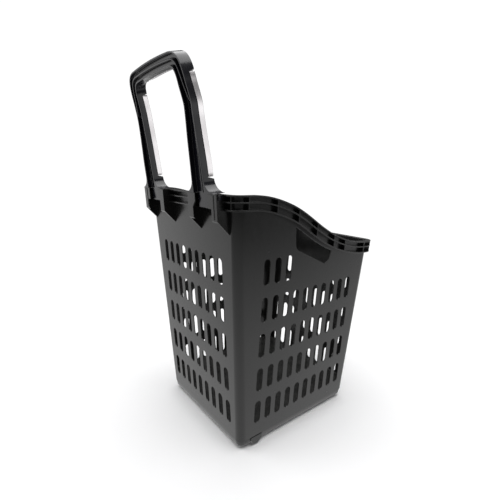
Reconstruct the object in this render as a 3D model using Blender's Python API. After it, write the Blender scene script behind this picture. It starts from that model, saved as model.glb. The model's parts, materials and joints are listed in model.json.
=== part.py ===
"""Rolling basket trolley: a slotted basket moulding with a plugged-in hoop handle on a wheeled base.

Metres, +Z up. The handle side, where the user walks, is +Y, and the low front rim is at -Y. The floor
is z = 0 and the origin is the middle of the bottom of the bounding box. Left and right are those of
a user who pushes the trolley, so left is +X.
"""

import math

import bmesh
import bpy
from mathutils import Matrix, Vector

GAP = 0.0003  # between pieces that touch
LEFT_RIGHT = (("left", 1), ("right", -1))

# Basket walls: planes at the height of the top row of slots, and their draft per metre of height
TOP_ROW_Z = 0.429
HALF_WIDTH, SIDE_DRAFT = 0.186, 0.049
REAR_Y, REAR_DRAFT = 0.1785, 0.075
FRONT_Y, FRONT_DRAFT = -0.2545, 0.072
CORNER = 0.018
WALL = 0.0022
THROUGH = (2 * WALL, -2 * WALL)  # where a cutter through a wall starts and ends, from its outer face
BASKET_BOTTOM = 0.024
FLOOR_UNDER, FLOOR_TOP = 0.054, 0.057

# The rim: (y, height, slope) from the low front to the high rear, and the three rails round it
RIM = (
    (-0.267, 0.4650, 0.00),
    (-0.197, 0.4675, 0.12),
    (-0.111, 0.4890, 0.37),
    (-0.026, 0.5310, 0.585),
    (0.053, 0.5705, 0.35),
    (0.149, 0.5900, 0.00),
)
RAIL_DROPS = (0.0305, 0.0153)  # lower faces of the two lower rails, below the rim
RAIL, OVERHANG = 0.003, 0.011
RIB, RIB_SETBACK = 0.0026, 0.0008
SIDE_RIBS = (0.165, 0.092, 0.029, -0.033, -0.097, -0.140, -0.220)
FRONT_RIBS = (-0.126, -0.063, 0.0, 0.063, 0.126)

# Slots, and the hand-holds in the side walls
SLOT_WIDTH, SLOT_LENGTH = 0.017, 0.058
ROW_PITCH, COLUMN_PITCH, ROWS, COLUMNS = 0.085, 0.0316, 5, 9
SIDE_COLUMNS, SIDE_FIRST_Y, SIDE_TOP_COLUMNS = 10, 0.1005, 3
HOLD_DROP = 0.036
HOLD_REAR, HOLD_FRONT = 0.0255, -0.103
HOLD_CORNERS = ((0.019, 0.4690, 0.020), (-0.090, 0.4190, 0.014))  # y, height, radius

# Handle sockets on the rear wall
SOCKET_INNER, SOCKET_OUTER, SOCKET_DEPTH = 0.060, 0.170, 0.026
SOCKET_TIP, SOCKET_ROOT = 0.539, 0.510
FIN, PLATE, SKIN = 0.004, 0.003, 0.0008
MOUTH_INNER, MOUTH_OUTER, MOUTH_TOP, MOUTH_PLAY = 0.080, 0.150, 0.562, 0.001
LATCH_SET, LATCH_DEEP, LATCH_HIGH, LATCH_PROUD, LATCH_LOW = 0.012, 0.008, 0.011, 0.002, 0.0006

# Handle hoop: inner and outer edge (x, z) of each leg, and the lean of its rear face
SEAM_Z = 0.590
LEG = (
    ((0.0915, 0.6150), (0.1378, 0.6150)),
    ((0.0936, 0.6490), (0.1368, 0.6490)),
    ((0.0954, 0.6890), (0.1332, 0.6890)),
    ((0.0985, 0.7290), (0.1302, 0.7290)),
    ((0.0990, 0.7510), (0.1300, 0.7510)),
    ((0.0962, 0.7820), (0.1262, 0.7820)),
)
INNER_CORNER = ((0.0962, 0.782), (0.0965, 0.806), (0.0915, 0.8128), (0.0720, 0.8140))
OUTER_CORNER = ((0.1262, 0.782), (0.1240, 0.822), (0.1150, 0.8355), (0.0800, 0.8370))
ARCH_INNER, ARCH_OUTER = 0.8160, 0.8395
KINK_Z, KINK_Y, LEG_LEAN, TOP_LEAN = 0.751, 0.2430, 0.138, 0.28
HOOP_DEPTH, HOOP_BEVEL, TRIM_DEPTH = 0.025, 0.002, 0.0125
GRIP_EXTRA, GRIP_END, GRIP_EASE = 0.009, 0.086, 0.036  # the crossbar is deeper than the legs
FLANGE, CHANNEL_DEPTH, CUT = 0.0032, 0.0095, 0.004  # CUT is how far a cutter starts outside
CORNER_STEPS, TRIM_CORNER_STEPS = 8, 2
FOOT_BASE, FOOT_STEPS, FOOT_PROUD = 0.5930, 4, 0.0005
TONGUE_LENGTH, TONGUE_SETBACK, TONGUE_PLAY = 0.030, CHANNEL_DEPTH + 0.0005, 0.0012
CHANNEL_TAIL = 0.030

# Base: the pan, castor cups, screw posts, and the fixed wheels' pockets with their cheeks
PLINTH_BOTTOM, PLINTH_CHAMFER, PLINTH_FLOOR = 0.008, 0.0105, 0.011
PLINTH_TUCK, PLINTH_WALL = 0.001, 0.003
CUP_R, CUP_WALL, CUP_CEILING, CUP_TOP = 0.037, 0.003, 0.0445, 0.0505
UNDERSIDE = PLINTH_BOTTOM + 0.0005
POST_R, POST_TOP, BOSS_BORE_R, POST_BORE_R = 0.006, 0.040, 0.0021, 0.0022
RECESS_R, RECESS_TOP = 0.0045, 0.0112
POCKET_NEAR, POCKET_FAR, POCKET_REACH, POCKET_TOP = 0.143, 0.1625, 0.0245, 0.030
OUTER_CHEEK, OUTER_CHEEK_R, OUTER_CHEEK_TOP = (0.1618, 0.1672), 0.0165, BASKET_BOTTOM - 2 * GAP
INNER_CHEEK, INNER_CHEEK_R, INNER_CHEEK_TOP = (0.1395, 0.1440), 0.0135, 0.034
SCREWS = (
    (0.125, 0.030),
    (0.0, 0.110),
    (-0.125, 0.030),
    (0.125, -0.090),
    (0.0, -0.185),
    (-0.125, -0.090),
)
SCREW_HEAD_R, SCREW_SHANK_R, SCREW_POINT_R = 0.0042, 0.0018, 0.0002
SCREW_LOW, SCREW_NECK, SCREW_SHANK_TOP, SCREW_TIP = 0.0085, 0.0109, 0.050, 0.0515

# Fixed wheels under the handle side, and castors under the front
WHEEL_Y, WHEEL_X, WHEEL_R, WHEEL_W = 0.099, 0.1530, 0.020, 0.015
AXLE_R, AXLE_SPAN, AXLE_BORE_SPAN = 0.0025, (0.136, 0.1652), (0.130, 0.1655)
CASTOR_X, CASTOR_Y, CASTOR_TRAIL = 0.112, -0.166, 0.012
CASTOR_R, CASTOR_W, CASTOR_AXLE_R, CASTOR_AXLE_HALF = 0.017, 0.013, 0.0020, 0.0105
CROWN_R, CROWN_LOW, CROWN_TOP = 0.013, 0.0375, 0.0410
STEM_R, STEM_BORE_R, STEM_TOP = 0.0040, 0.0045, 0.0520
FORK_CLEAR, FORK_WALL, FORK_EYE_R, FORK_SHOULDER, FORK_TOP = 0.0006, 0.0024, 0.0068, 0.030, 0.039
WASHER = (STEM_BORE_R, 0.0110, 0.0413, 0.0441)  # bore, radius, low, high
RETAINER = (0.0043, 0.0080, 0.0508, 0.0532)


def clear_scene():
    for obj in list(bpy.data.objects):
        bpy.data.objects.remove(obj, do_unlink=True)


def plastic(name, colour, roughness, metallic=0.0):
    material = bpy.data.materials.new(name)
    material.use_nodes = True
    shader = material.node_tree.nodes["Principled BSDF"]
    shader.inputs["Base Color"].default_value = (*colour, 1.0)
    shader.inputs["Roughness"].default_value = roughness
    shader.inputs["Metallic"].default_value = metallic
    material.diffuse_color = (*colour, 1.0)
    return material


def flat(face):
    """Whether a four-sided face lies in one plane, within a hundredth of a millimetre."""
    a, b, c, d = (vert.co for vert in face.verts)
    normal = (b - a).cross(c - a).normalized()
    return abs(normal.dot(d - a)) < 1e-5


def new_object(name, bm, material=None, origin=(0.0, 0.0, 0.0)):
    """The object of this bmesh, whose points are in world space, with its origin at the given place."""
    bmesh.ops.recalc_face_normals(bm, faces=bm.faces)
    bent = [face for face in bm.faces if len(face.verts) == 4 and not flat(face)]
    bmesh.ops.triangulate(bm, faces=bent)
    bmesh.ops.translate(bm, verts=bm.verts, vec=-Vector(origin))
    mesh = bpy.data.meshes.new(name)
    bm.to_mesh(mesh)
    bm.free()
    mesh.shade_smooth()
    mesh.set_sharp_from_angle(angle=math.radians(32))
    obj = bpy.data.objects.new(name, mesh)
    obj.location = origin
    bpy.context.scene.collection.objects.link(obj)
    if material:
        mesh.materials.append(material)
    return obj


def combine(target, operation, name, bm, solver="EXACT"):
    """Join a helper shape to the target, or cut it away, with a live Boolean."""
    helper = new_object(name, bm)
    helper.hide_render = True
    helper.display_type = "WIRE"
    modifier = target.modifiers.new(name, "BOOLEAN")
    modifier.operation = operation
    modifier.solver = solver
    modifier.object = helper


def loft(bm, rings, ring_of_rings=False):
    """Skin a row of equal rings into a solid, with its ends capped unless it closes on itself."""
    loops = [[bm.verts.new(point) for point in ring] for ring in rings]
    pairs = list(zip(loops, loops[1:]))
    if ring_of_rings:
        pairs.append((loops[-1], loops[0]))
    else:
        bm.faces.new(loops[0][::-1])
        bm.faces.new(loops[-1])
    for lower, upper in pairs:
        for i, j in zip(range(len(lower)), [*range(1, len(lower)), 0]):
            bm.faces.new((lower[i], lower[j], upper[j], upper[i]))


def turned(bm, profile, centre, axis="X", segments=24):
    """Turn a closed profile of (radius, distance along the axis) round the axis through the centre."""
    rings = []
    for k in range(segments):
        angle = 2 * math.pi * k / segments
        turn = Matrix.Rotation(angle, 3, axis)
        if axis == "X":
            ring = [turn @ Vector((along, radius, 0)) for radius, along in profile]
        else:
            ring = [turn @ Vector((radius, 0, along)) for radius, along in profile]
        rings.append([Vector(centre) + point for point in ring])
    loft(bm, rings, ring_of_rings=True)


def disc(bm, radius, centre, low, high, axis="Z", segments=24):
    """A solid cylinder along the axis, from low to high of the centre."""
    shift = Vector((0, 0, (low + high) / 2)) if axis == "Z" else Vector(((low + high) / 2, 0, 0))
    turn = Matrix.Rotation(math.pi / 2, 4, "Y") if axis == "X" else Matrix.Identity(4)
    place = Matrix.Translation(Vector(centre) + shift) @ turn
    size = {"radius1": radius, "radius2": radius, "depth": high - low}
    bmesh.ops.create_cone(bm, cap_ends=True, segments=segments, matrix=place, **size)


def block(bm, low, high):
    middle = (Vector(low) + Vector(high)) / 2
    size = Vector(high) - Vector(low)
    place = Matrix.Translation(middle) @ Matrix.Diagonal((*size, 1))
    bmesh.ops.create_cube(bm, size=1, matrix=place)


def half_width(z):
    return HALF_WIDTH + SIDE_DRAFT * (z - TOP_ROW_Z)


def rear_y(z):
    return REAR_Y + REAR_DRAFT * (z - TOP_ROW_Z)


def front_y(z):
    return FRONT_Y - FRONT_DRAFT * (z - TOP_ROW_Z)


def stations(arc_steps=5, side_steps=14):
    """Places round the basket, anticlockwise from +X: corner arcs, then points along each side."""
    places = []
    for quarter, (sx, sy) in enumerate(((1, 1), (-1, 1), (-1, -1), (1, -1))):
        for k in range(arc_steps + 1):
            places.append(("corner", sx, sy, math.pi / 2 * (quarter + k / arc_steps)))
        if quarter == 1:
            places += [("side", -1, 1 - k / side_steps) for k in range(1, side_steps)]
    places += [("side", 1, k / side_steps) for k in range(1, side_steps)]
    return places


def wall_point(place, z, offset):
    """The point of this place at height z, moved out of the wall by the offset."""
    low, high = front_y(z) + CORNER, rear_y(z) - CORNER
    if place[0] == "corner":
        _, sx, sy, angle = place
        middle = Vector((sx * (half_width(z) - CORNER), high if sy > 0 else low, z))
        return middle + (CORNER + offset) * Vector((math.cos(angle), math.sin(angle), 0))
    _, sx, share = place
    return Vector((sx * (half_width(z) + offset), low + (high - low) * share, z))


def rim(y):
    """Height and slope of the rim at this y: a cubic between each two of the RIM points."""
    if y <= RIM[0][0]:
        return RIM[0][1], 0.0
    for (y0, z0, slope0), (y1, z1, slope1) in zip(RIM, RIM[1:]):
        if y <= y1:
            span, rise = y1 - y0, z1 - z0
            t = (y - y0) / span
            a, b = slope0 * span - rise, rise - slope1 * span
            blend = (1 - t) * a + t * b
            height = z0 + t * rise + t * (1 - t) * blend
            slope = (rise + (1 - 2 * t) * blend + t * (1 - t) * (b - a)) / span
            return height, slope
    return RIM[-1][1], 0.0


def below_rim(place, drop, offset):
    """The wall's point this far below the rim, measured square to the rim's curve."""
    z = SEAM_Z
    for _ in range(12):
        height, slope = rim(wall_point(place, z, offset).y)
        z = height - drop * math.hypot(1, slope)
    return wall_point(place, z, offset)


def basket_shell():
    """Skirt, floor, walls and the three rails as one skin."""
    places = stations()
    level = [(FLOOR_UNDER, -WALL), (BASKET_BOTTOM, -WALL), (BASKET_BOTTOM, 0.0)]
    rings = [[wall_point(p, z, offset) for p in places] for z, offset in level]
    for drop in RAIL_DROPS:
        for low, offset in ((drop, 0.0), (drop, OVERHANG), (drop - RAIL, OVERHANG), (drop - RAIL, 0.0)):
            rings.append([below_rim(p, low, offset) for p in places])
    for low, offset in ((RAIL, 0.0), (RAIL, OVERHANG), (0.0, OVERHANG), (0.0, -WALL)):
        rings.append([below_rim(p, low, offset) for p in places])
    rings.append([wall_point(p, FLOOR_TOP, -WALL) for p in places])
    bm = bmesh.new()
    loft(bm, rings)
    return bm


def rectangle(x0, x1, y0, y1, z):
    """The corners of a level rectangle, in order."""
    return [(x0, y0, z), (x1, y0, z), (x1, y1, z), (x0, y1, z)]


def rib_plates():
    """The upright ribs between the lowest rail and the rim, on the sides and the front."""
    bm = bmesh.new()
    sink, reach, edge = -WALL / 2, OVERHANG - RIB_SETBACK, RIB / 2
    for y in SIDE_RIBS:
        height, slope = rim(y)
        levels = (height - (RAIL_DROPS[0] - RAIL / 2) * math.hypot(1, slope), height - RAIL / 2)
        for _, sx in LEFT_RIGHT:
            spans = [(sx * (half_width(z) + sink), sx * (half_width(z) + reach), z) for z in levels]
            loft(bm, [rectangle(near, far, y - edge, y + edge, z) for near, far, z in spans])
    levels = (RIM[0][1] - RAIL_DROPS[0] + RAIL / 2, RIM[0][1] - RAIL / 2)
    for x in FRONT_RIBS:
        spans = [(front_y(z) - sink, front_y(z) - reach, z) for z in levels]
        loft(bm, [rectangle(x - edge, x + edge, near, far, z) for near, far, z in spans])
    return bm


def stadium(width, length):
    """Half a slot's outline at each end: eight points of (across, up)."""
    radius = width / 2
    rise = length / 2 - radius
    points = []
    for k in range(4):
        angle = math.pi * k / 3
        points.append((radius * math.cos(angle), rise + radius * math.sin(angle) / math.sin(math.pi / 3)))
    return points + [(-across, -up) for across, up in points]


def slot_outline(across, up):
    """The outline of the slot whose middle is at (across, up) of its wall."""
    return [(across + a, up + b) for a, b in stadium(SLOT_WIDTH, SLOT_LENGTH)]


def cross_slot(bm, wall_y, x, z):
    """A slot cutter along Y, through the rear or the front wall."""
    loft(bm, [[(px, wall_y(pz) + shift, pz) for px, pz in slot_outline(x, z)] for shift in THROUGH])


def side_slot(bm, sx, y, z):
    """A slot cutter along X, through the side wall on this side."""
    outline = slot_outline(y, z)
    loft(bm, [[(sx * (half_width(pz) + shift), py, pz) for py, pz in outline] for shift in THROUGH])


def slot_cutters():
    bm = bmesh.new()
    for row in range(ROWS):
        z = TOP_ROW_Z - row * ROW_PITCH
        for column in range(COLUMNS):
            x = (column - (COLUMNS - 1) / 2) * COLUMN_PITCH
            cross_slot(bm, rear_y, x, z)
            if row > 0:
                cross_slot(bm, front_y, x, z)
        for column in range(SIDE_COLUMNS if row else SIDE_TOP_COLUMNS):
            for _, sx in LEFT_RIGHT:
                side_slot(bm, sx, SIDE_FIRST_Y - column * COLUMN_PITCH, z)
    return bm


def fillet(before, corner, after, radius, steps=4):
    """Points of the arc that rounds this corner, in (y, z)."""
    corner = Vector(corner)
    arm_a, arm_b = (Vector(before) - corner).normalized(), (Vector(after) - corner).normalized()
    half = arm_a.angle(arm_b) / 2
    reach = radius / math.tan(half)
    start, end = corner + arm_a * reach, corner + arm_b * reach
    centre = corner + (arm_a + arm_b).normalized() * (radius / math.sin(half))
    points = []
    for k in range(steps + 1):
        chord = start.lerp(end, k / steps) - centre
        points.append(centre + chord.normalized() * radius)
    return points


def hold_outline():
    """The hand-hold in (y, z): its top follows the lowest rail, and its lower corners are round."""
    top = []
    for k in range(9):
        y = HOLD_FRONT + (HOLD_REAR - HOLD_FRONT) * k / 8
        height, slope = rim(y)
        top.append((y, height - HOLD_DROP * math.hypot(1, slope)))
    (rear_at, rear_z, rear_r), (front_at, front_z, front_r) = HOLD_CORNERS
    rear, front = (rear_at, rear_z), (front_at, front_z)
    return top + fillet(top[-1], rear, front, rear_r) + fillet(rear, front, top[0], front_r)


def hold_cutters():
    bm = bmesh.new()
    for _, sx in LEFT_RIGHT:
        near, far = half_width(TOP_ROW_Z) - 4 * WALL, half_width(SEAM_Z)
        loft(bm, [[(sx * x, y, z) for y, z in hold_outline()] for x in (near, far)])
    return bm


def socket_blocks():
    """The two sockets' outer shapes, sunk a little into the rear wall."""
    bm = bmesh.new()
    top = SEAM_Z - GAP
    for _, sx in LEFT_RIGHT:
        side = [
            (rear_y(SOCKET_ROOT) - WALL / 2, SOCKET_ROOT),
            (rear_y(SOCKET_TIP) + SOCKET_DEPTH, SOCKET_TIP),
            (rear_y(top) + SOCKET_DEPTH, top),
            (rear_y(top) - WALL / 2, top),
        ]
        loft(bm, [[(sx * x, y, z) for y, z in side] for x in (SOCKET_INNER, SOCKET_OUTER)])
    return bm


def socket_pockets():
    """The room between the fins, behind the plate, open above and below."""
    bm = bmesh.new()
    far = SOCKET_DEPTH - PLATE
    for _, sx in LEFT_RIGHT:
        a, b = sx * (SOCKET_INNER + FIN), sx * (SOCKET_OUTER - FIN)
        levels = (SOCKET_ROOT - 2 * CUT, SEAM_Z + 2 * CUT)
        loft(bm, [rectangle(a, b, rear_y(z) + SKIN, rear_y(z) + far, z) for z in levels])
    return bm


def socket_mouths():
    """The opening in each socket's plate: as wide as the leg above, wider below."""
    bm = bmesh.new()
    inner, outer = LEG[0][0][0] - MOUTH_PLAY, LEG[0][1][0] + MOUTH_PLAY
    low, high = SOCKET_ROOT - 2 * CUT, SEAM_Z + 2 * CUT
    outline = [
        (MOUTH_INNER, low),
        (MOUTH_OUTER, low),
        (MOUTH_OUTER, MOUTH_TOP),
        (outer, MOUTH_TOP),
        (outer, high),
        (inner, high),
        (inner, MOUTH_TOP + inner - MOUTH_INNER),
        (MOUTH_INNER, MOUTH_TOP),
    ]
    for _, sx in LEFT_RIGHT:
        shifts = (SOCKET_DEPTH - PLATE - CUT, SOCKET_DEPTH + 2 * CUT)
        loft(bm, [[(sx * x, rear_y(z) + shift, z) for x, z in outline] for shift in shifts])
    return bm


def latch_box(sx, grow=0.0):
    """Low and high corners of a latch in its socket's outer fin, with room round it."""
    y = rear_y(SEAM_Z) + SOCKET_DEPTH - LATCH_SET
    low = Vector((SOCKET_OUTER - FIN / 2, y, SEAM_Z - LATCH_HIGH)) - Vector((grow, grow, grow))
    high = Vector((SOCKET_OUTER + LATCH_PROUD, y + LATCH_DEEP, SEAM_Z - LATCH_LOW))
    high += Vector((grow, grow, 4 * grow))
    if sx > 0:
        return low, high
    return Vector((-high.x, low.y, low.z)), Vector((-low.x, high.y, high.z))


def build_basket(material):
    basket = new_object("basket_tub", basket_shell(), material)
    combine(basket, "UNION", "basket_ribs", rib_plates())
    combine(basket, "UNION", "socket_blocks", socket_blocks())
    combine(basket, "DIFFERENCE", "socket_pockets", socket_pockets())
    combine(basket, "DIFFERENCE", "socket_mouths", socket_mouths())
    bm = bmesh.new()
    for _, sx in LEFT_RIGHT:
        block(bm, *latch_box(sx, GAP))
    combine(basket, "DIFFERENCE", "latch_notches", bm)
    combine(basket, "DIFFERENCE", "slot_cutters", slot_cutters())
    combine(basket, "DIFFERENCE", "hold_cutters", hold_cutters())
    bm = bmesh.new()
    for x, y in SCREWS:
        disc(bm, POST_R, (x, y, 0), POST_TOP, FLOOR_UNDER + 0.001, segments=12)
    combine(basket, "UNION", "screw_bosses", bm)
    bm = bmesh.new()
    for x, y in SCREWS:
        disc(bm, BOSS_BORE_R, (x, y, 0), POST_TOP - 0.010, FLOOR_UNDER - 0.001, segments=12)
    combine(basket, "DIFFERENCE", "screw_pilots", bm)


def bezier(points, count):
    """Points along a cubic, without its first."""
    a, b, c, d = (Vector(p) for p in points)
    for k in range(1, count + 1):
        t = k / count
        yield a * (1 - t) ** 3 + b * 3 * t * (1 - t) ** 2 + c * 3 * t * t * (1 - t) + d * t**3


def half_hoop():
    """(inner, outer) edge points of one half of the hoop, from the foot to beside the middle."""
    pairs = [(Vector(inner), Vector(outer)) for inner, outer in LEG]
    pairs += zip(bezier(INNER_CORNER, CORNER_STEPS), bezier(OUTER_CORNER, CORNER_STEPS))
    inner, outer = pairs[-1]
    for t in (0.33, 0.67):
        share = 1 - (1 - t) ** 2
        pairs.append(
            (
                Vector((inner.x * (1 - t), inner.y + (ARCH_INNER - inner.y) * share)),
                Vector((outer.x * (1 - t), outer.y + (ARCH_OUTER - outer.y) * share)),
            )
        )
    return pairs


def hoop_path():
    """The whole hoop's (inner, outer) pairs, from the right foot over to the left foot."""
    half = half_hoop()
    middle = [(Vector((0, ARCH_INNER)), Vector((0, ARCH_OUTER)))]
    mirrored = [(Vector((-i.x, i.y)), Vector((-o.x, o.y))) for i, o in half]
    return mirrored + middle + half[::-1]


def hoop_back(z):
    lean = LEG_LEAN if z < KINK_Z else TOP_LEAN
    return KINK_Y + lean * (z - KINK_Z)


def hoop_depth(pair):
    """How deep the hoop is at this station: it swells from the corners to the crossbar's middle."""
    middle = abs(pair[0].x + pair[1].x) / 2
    share = min(max((GRIP_END - middle) / GRIP_EASE, 0.0), 1.0)
    return HOOP_DEPTH + GRIP_EXTRA * share * share * (3 - 2 * share)


def hoop_point(pair, across, depth):
    """A point of the hoop: across 0 is the inner edge and 1 the outer, depth 0 is the rear face."""
    edge = pair[0].lerp(pair[1], across)
    height = (pair[0].y + pair[1].y) / 2
    if abs(height - KINK_Z) < 0.001:
        lean = (LEG_LEAN + TOP_LEAN) / 2
    else:
        lean = LEG_LEAN if height < KINK_Z else TOP_LEAN
    scale = depth / math.hypot(1, lean)
    return Vector((edge.x, hoop_back(edge.y) - scale, edge.y + lean * scale))


def section(pair, near, far, front, back, bevel=0.0):
    """A four- or six-sided section of the hoop, in depths front > back and metres in from each edge."""
    width = (pair[1] - pair[0]).length
    a, b, c = near / width, 1 - far / width, bevel / width
    if not bevel:
        return [hoop_point(pair, s, d) for s, d in ((a, back), (b, back), (b, front), (a, front))]
    corners = ((a, back), (b, back), (b, front - bevel), (b - c, front), (a + c, front), (a, front - bevel))
    return [hoop_point(pair, s, d) for s, d in corners]


def foot_rings():
    """The flared foot that stands on the socket, then the tongue that plugs into it (left leg)."""
    rings = []
    (inner, top), (outer, _) = LEG[0]
    low_inner, low_outer = SOCKET_INNER + FOOT_PROUD, SOCKET_OUTER + FOOT_PROUD
    for k in range(1, FOOT_STEPS + 1):
        angle = math.pi / 2 * k / FOOT_STEPS
        z = top - (top - FOOT_BASE) * math.sin(angle)
        share = 1 - math.cos(angle)
        edges = (inner + (low_inner - inner) * share, outer + (low_outer - outer) * share)
        pair = [Vector((x, z)) for x in edges]
        rings.append(section(pair, 0, 0, HOOP_DEPTH, 0, HOOP_BEVEL))
    base = SEAM_Z + GAP
    rings.append([(p.x, p.y, base) for p in rings[-1]])
    tongue = [Vector((x, base)) for x in (inner + TONGUE_PLAY, outer - TONGUE_PLAY)]
    root = section(tongue, 0, 0, HOOP_DEPTH, TONGUE_SETBACK, HOOP_BEVEL)
    rings.append([Vector((p.x, p.y, base)) for p in root])
    rings.append([p - TONGUE_LENGTH * Vector((0, REAR_DRAFT, 1)) for p in rings[-1]])
    return rings


def mirror_ring(ring):
    return [Vector((-p[0], p[1], p[2])) for p in ring]


def rib_share(z):
    """Where the middle rib stands between the edges: it leaves the outer flange at the kink."""
    rise = min(max((z - KINK_Z) / 0.050, 0.0), 1.0)
    return 0.92 - 0.42 * math.sqrt(rise)


def channel_cutters():
    """The two channels in the hoop's rear face. Below the kink they are one."""
    path = hoop_path()
    inner_rings, outer_rings = [], []
    for pair in path:
        width = (pair[1] - pair[0]).length
        height = (pair[0].y + pair[1].y) / 2
        rib = rib_share(height) * width
        joined = height < KINK_Z - 0.001
        far = FLANGE if joined else width - rib + FLANGE / 2
        inner_rings.append(section(pair, FLANGE, far, CHANNEL_DEPTH, -CUT))
        if height > KINK_Z + 0.010:
            outer_rings.append(section(pair, rib + FLANGE / 2, FLANGE, CHANNEL_DEPTH, -CUT))
    tail = CHANNEL_TAIL * Vector((0, LEG_LEAN, 1))
    inner_rings.insert(0, [p - tail for p in inner_rings[0]])
    inner_rings.append([p - tail for p in inner_rings[-1]])
    inner, outer = bmesh.new(), bmesh.new()
    loft(inner, inner_rings)
    loft(outer, outer_rings)
    return inner, outer


def trim_spans():
    """The stretches of the path that carry a bright strip: (name, first, last) with the path's indexes."""
    last = len(hoop_path()) - 1
    legs = len(LEG) - 1 + TRIM_CORNER_STEPS
    corner = len(LEG) + CORNER_STEPS - 1
    return (
        ("handle_trim_right", 0, legs),
        ("handle_grip_trim", corner, last - corner),
        ("handle_trim_left", last - legs, last),
    )


def seat_rings(first, last):
    """The cutter that makes room for a strip on the hoop's front, between two stations."""
    rings = []
    for pair in hoop_path()[first : last + 1]:
        depth = hoop_depth(pair)
        rings.append(section(pair, -CUT, -CUT, depth + CUT, depth - TRIM_DEPTH))
    return rings


def trim_rings(first, last):
    """A strip that caps the hoop's front between two stations, with its ends drawn in by the gap."""
    rings = []
    for pair in hoop_path()[first : last + 1]:
        depth = hoop_depth(pair)
        rings.append(section(pair, 0, 0, depth, depth - TRIM_DEPTH + GAP, HOOP_BEVEL))
    for end, inside in ((0, 1), (-1, -2)):
        pairs = list(zip(rings[end], rings[inside]))
        rings[end] = [point + (target - point).normalized() * GAP for point, target in pairs]
    return rings


def build_handle(black, bright):
    bm = bmesh.new()
    left = foot_rings()
    body = [section(pair, 0, 0, hoop_depth(pair), 0, HOOP_BEVEL) for pair in hoop_path()]
    right = [mirror_ring(ring) for ring in left]
    loft(bm, right[::-1] + body + left)
    hoop = new_object("handle_hoop", bm, black)
    for name, cutter in zip(("inner_channel", "outer_channel"), channel_cutters()):
        combine(hoop, "DIFFERENCE", name, cutter, "MANIFOLD")
    seats = bmesh.new()
    for name, first, last in trim_spans():
        loft(seats, seat_rings(first, last))
        bm = bmesh.new()
        loft(bm, trim_rings(first, last))
        new_object(name, bm, bright)
    combine(hoop, "DIFFERENCE", "trim_seats", seats, "MANIFOLD")
    for side, sx in LEFT_RIGHT:
        bm = bmesh.new()
        block(bm, *latch_box(sx))
        new_object(f"handle_latch_{side}", bm, black)


def plinth_tray():
    """The band round the base with its floor, a little inside the basket's skirt."""
    places = stations(side_steps=2)
    inner = -PLINTH_TUCK - PLINTH_WALL
    levels = (
        (PLINTH_BOTTOM, -PLINTH_TUCK - 1.5 * PLINTH_WALL),
        (PLINTH_CHAMFER, -PLINTH_TUCK - PLINTH_WALL / 2),
        (BASKET_BOTTOM - GAP, -PLINTH_TUCK),
        (BASKET_BOTTOM - GAP, inner),
        (PLINTH_FLOOR, inner - 0.0013),
    )
    bm = bmesh.new()
    loft(bm, [[wall_point(p, z, offset) for p in places] for z, offset in levels])
    return bm


def cheek(bm, sx, span, radius, top):
    """One cheek that holds a fixed wheel's axle: round below, straight up to the top."""
    outline = [(WHEEL_Y + radius, top), (WHEEL_Y - radius, top)]
    for k in range(11):
        angle = math.pi + math.pi * k / 10
        outline.append((WHEEL_Y + radius * math.cos(angle), WHEEL_R + radius * math.sin(angle)))
    loft(bm, [[(sx * x, y, z) for y, z in outline] for x in span])


def cups_and_posts():
    bm = bmesh.new()
    for _, sx in LEFT_RIGHT:
        place = (sx * CASTOR_X, CASTOR_Y, 0)
        disc(bm, CUP_R + CUP_WALL, place, UNDERSIDE, CUP_TOP, segments=28)
    for x, y in SCREWS:
        disc(bm, POST_R, (x, y, 0), UNDERSIDE, POST_TOP - GAP, segments=12)
    return bm


def wheel_openings():
    """The castors' cups and the fixed wheels' pockets, open below."""
    bm = bmesh.new()
    for _, sx in LEFT_RIGHT:
        disc(bm, CUP_R, (sx * CASTOR_X, CASTOR_Y, 0), 0.0, CUP_CEILING, segments=28)
        near, far = sorted((sx * POCKET_NEAR, sx * POCKET_FAR))
        block(bm, (near, WHEEL_Y - POCKET_REACH, 0.0), (far, WHEEL_Y + POCKET_REACH, POCKET_TOP))
    return bm


def base_bores():
    """The bores for the castor stems, the fixed wheels' axles and the screws."""
    bm = bmesh.new()
    for _, sx in LEFT_RIGHT:
        disc(bm, STEM_BORE_R, (sx * CASTOR_X, CASTOR_Y, 0), POST_TOP, FLOOR_TOP, segments=16)
        reach = sorted(sx * x for x in AXLE_BORE_SPAN)
        disc(bm, AXLE_R + GAP, (0, WHEEL_Y, WHEEL_R), *reach, axis="X", segments=16)
    for x, y in SCREWS:
        disc(bm, POST_BORE_R, (x, y, 0), 0.0, FLOOR_UNDER, segments=12)
    return bm


def build_base(material):
    base = new_object("base_plinth", plinth_tray(), material)
    combine(base, "UNION", "cups_and_posts", cups_and_posts())
    combine(base, "DIFFERENCE", "wheel_openings", wheel_openings())
    bm = bmesh.new()
    for _, sx in LEFT_RIGHT:
        cheek(bm, sx, OUTER_CHEEK, OUTER_CHEEK_R, OUTER_CHEEK_TOP)
        cheek(bm, sx, INNER_CHEEK, INNER_CHEEK_R, INNER_CHEEK_TOP)
    combine(base, "UNION", "wheel_cheeks", bm)
    combine(base, "DIFFERENCE", "bores", base_bores())
    bm = bmesh.new()
    for x, y in SCREWS:
        disc(bm, RECESS_R, (x, y, 0), 0.0, RECESS_TOP, segments=16)
    combine(base, "DIFFERENCE", "screw_recesses", bm)


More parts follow.
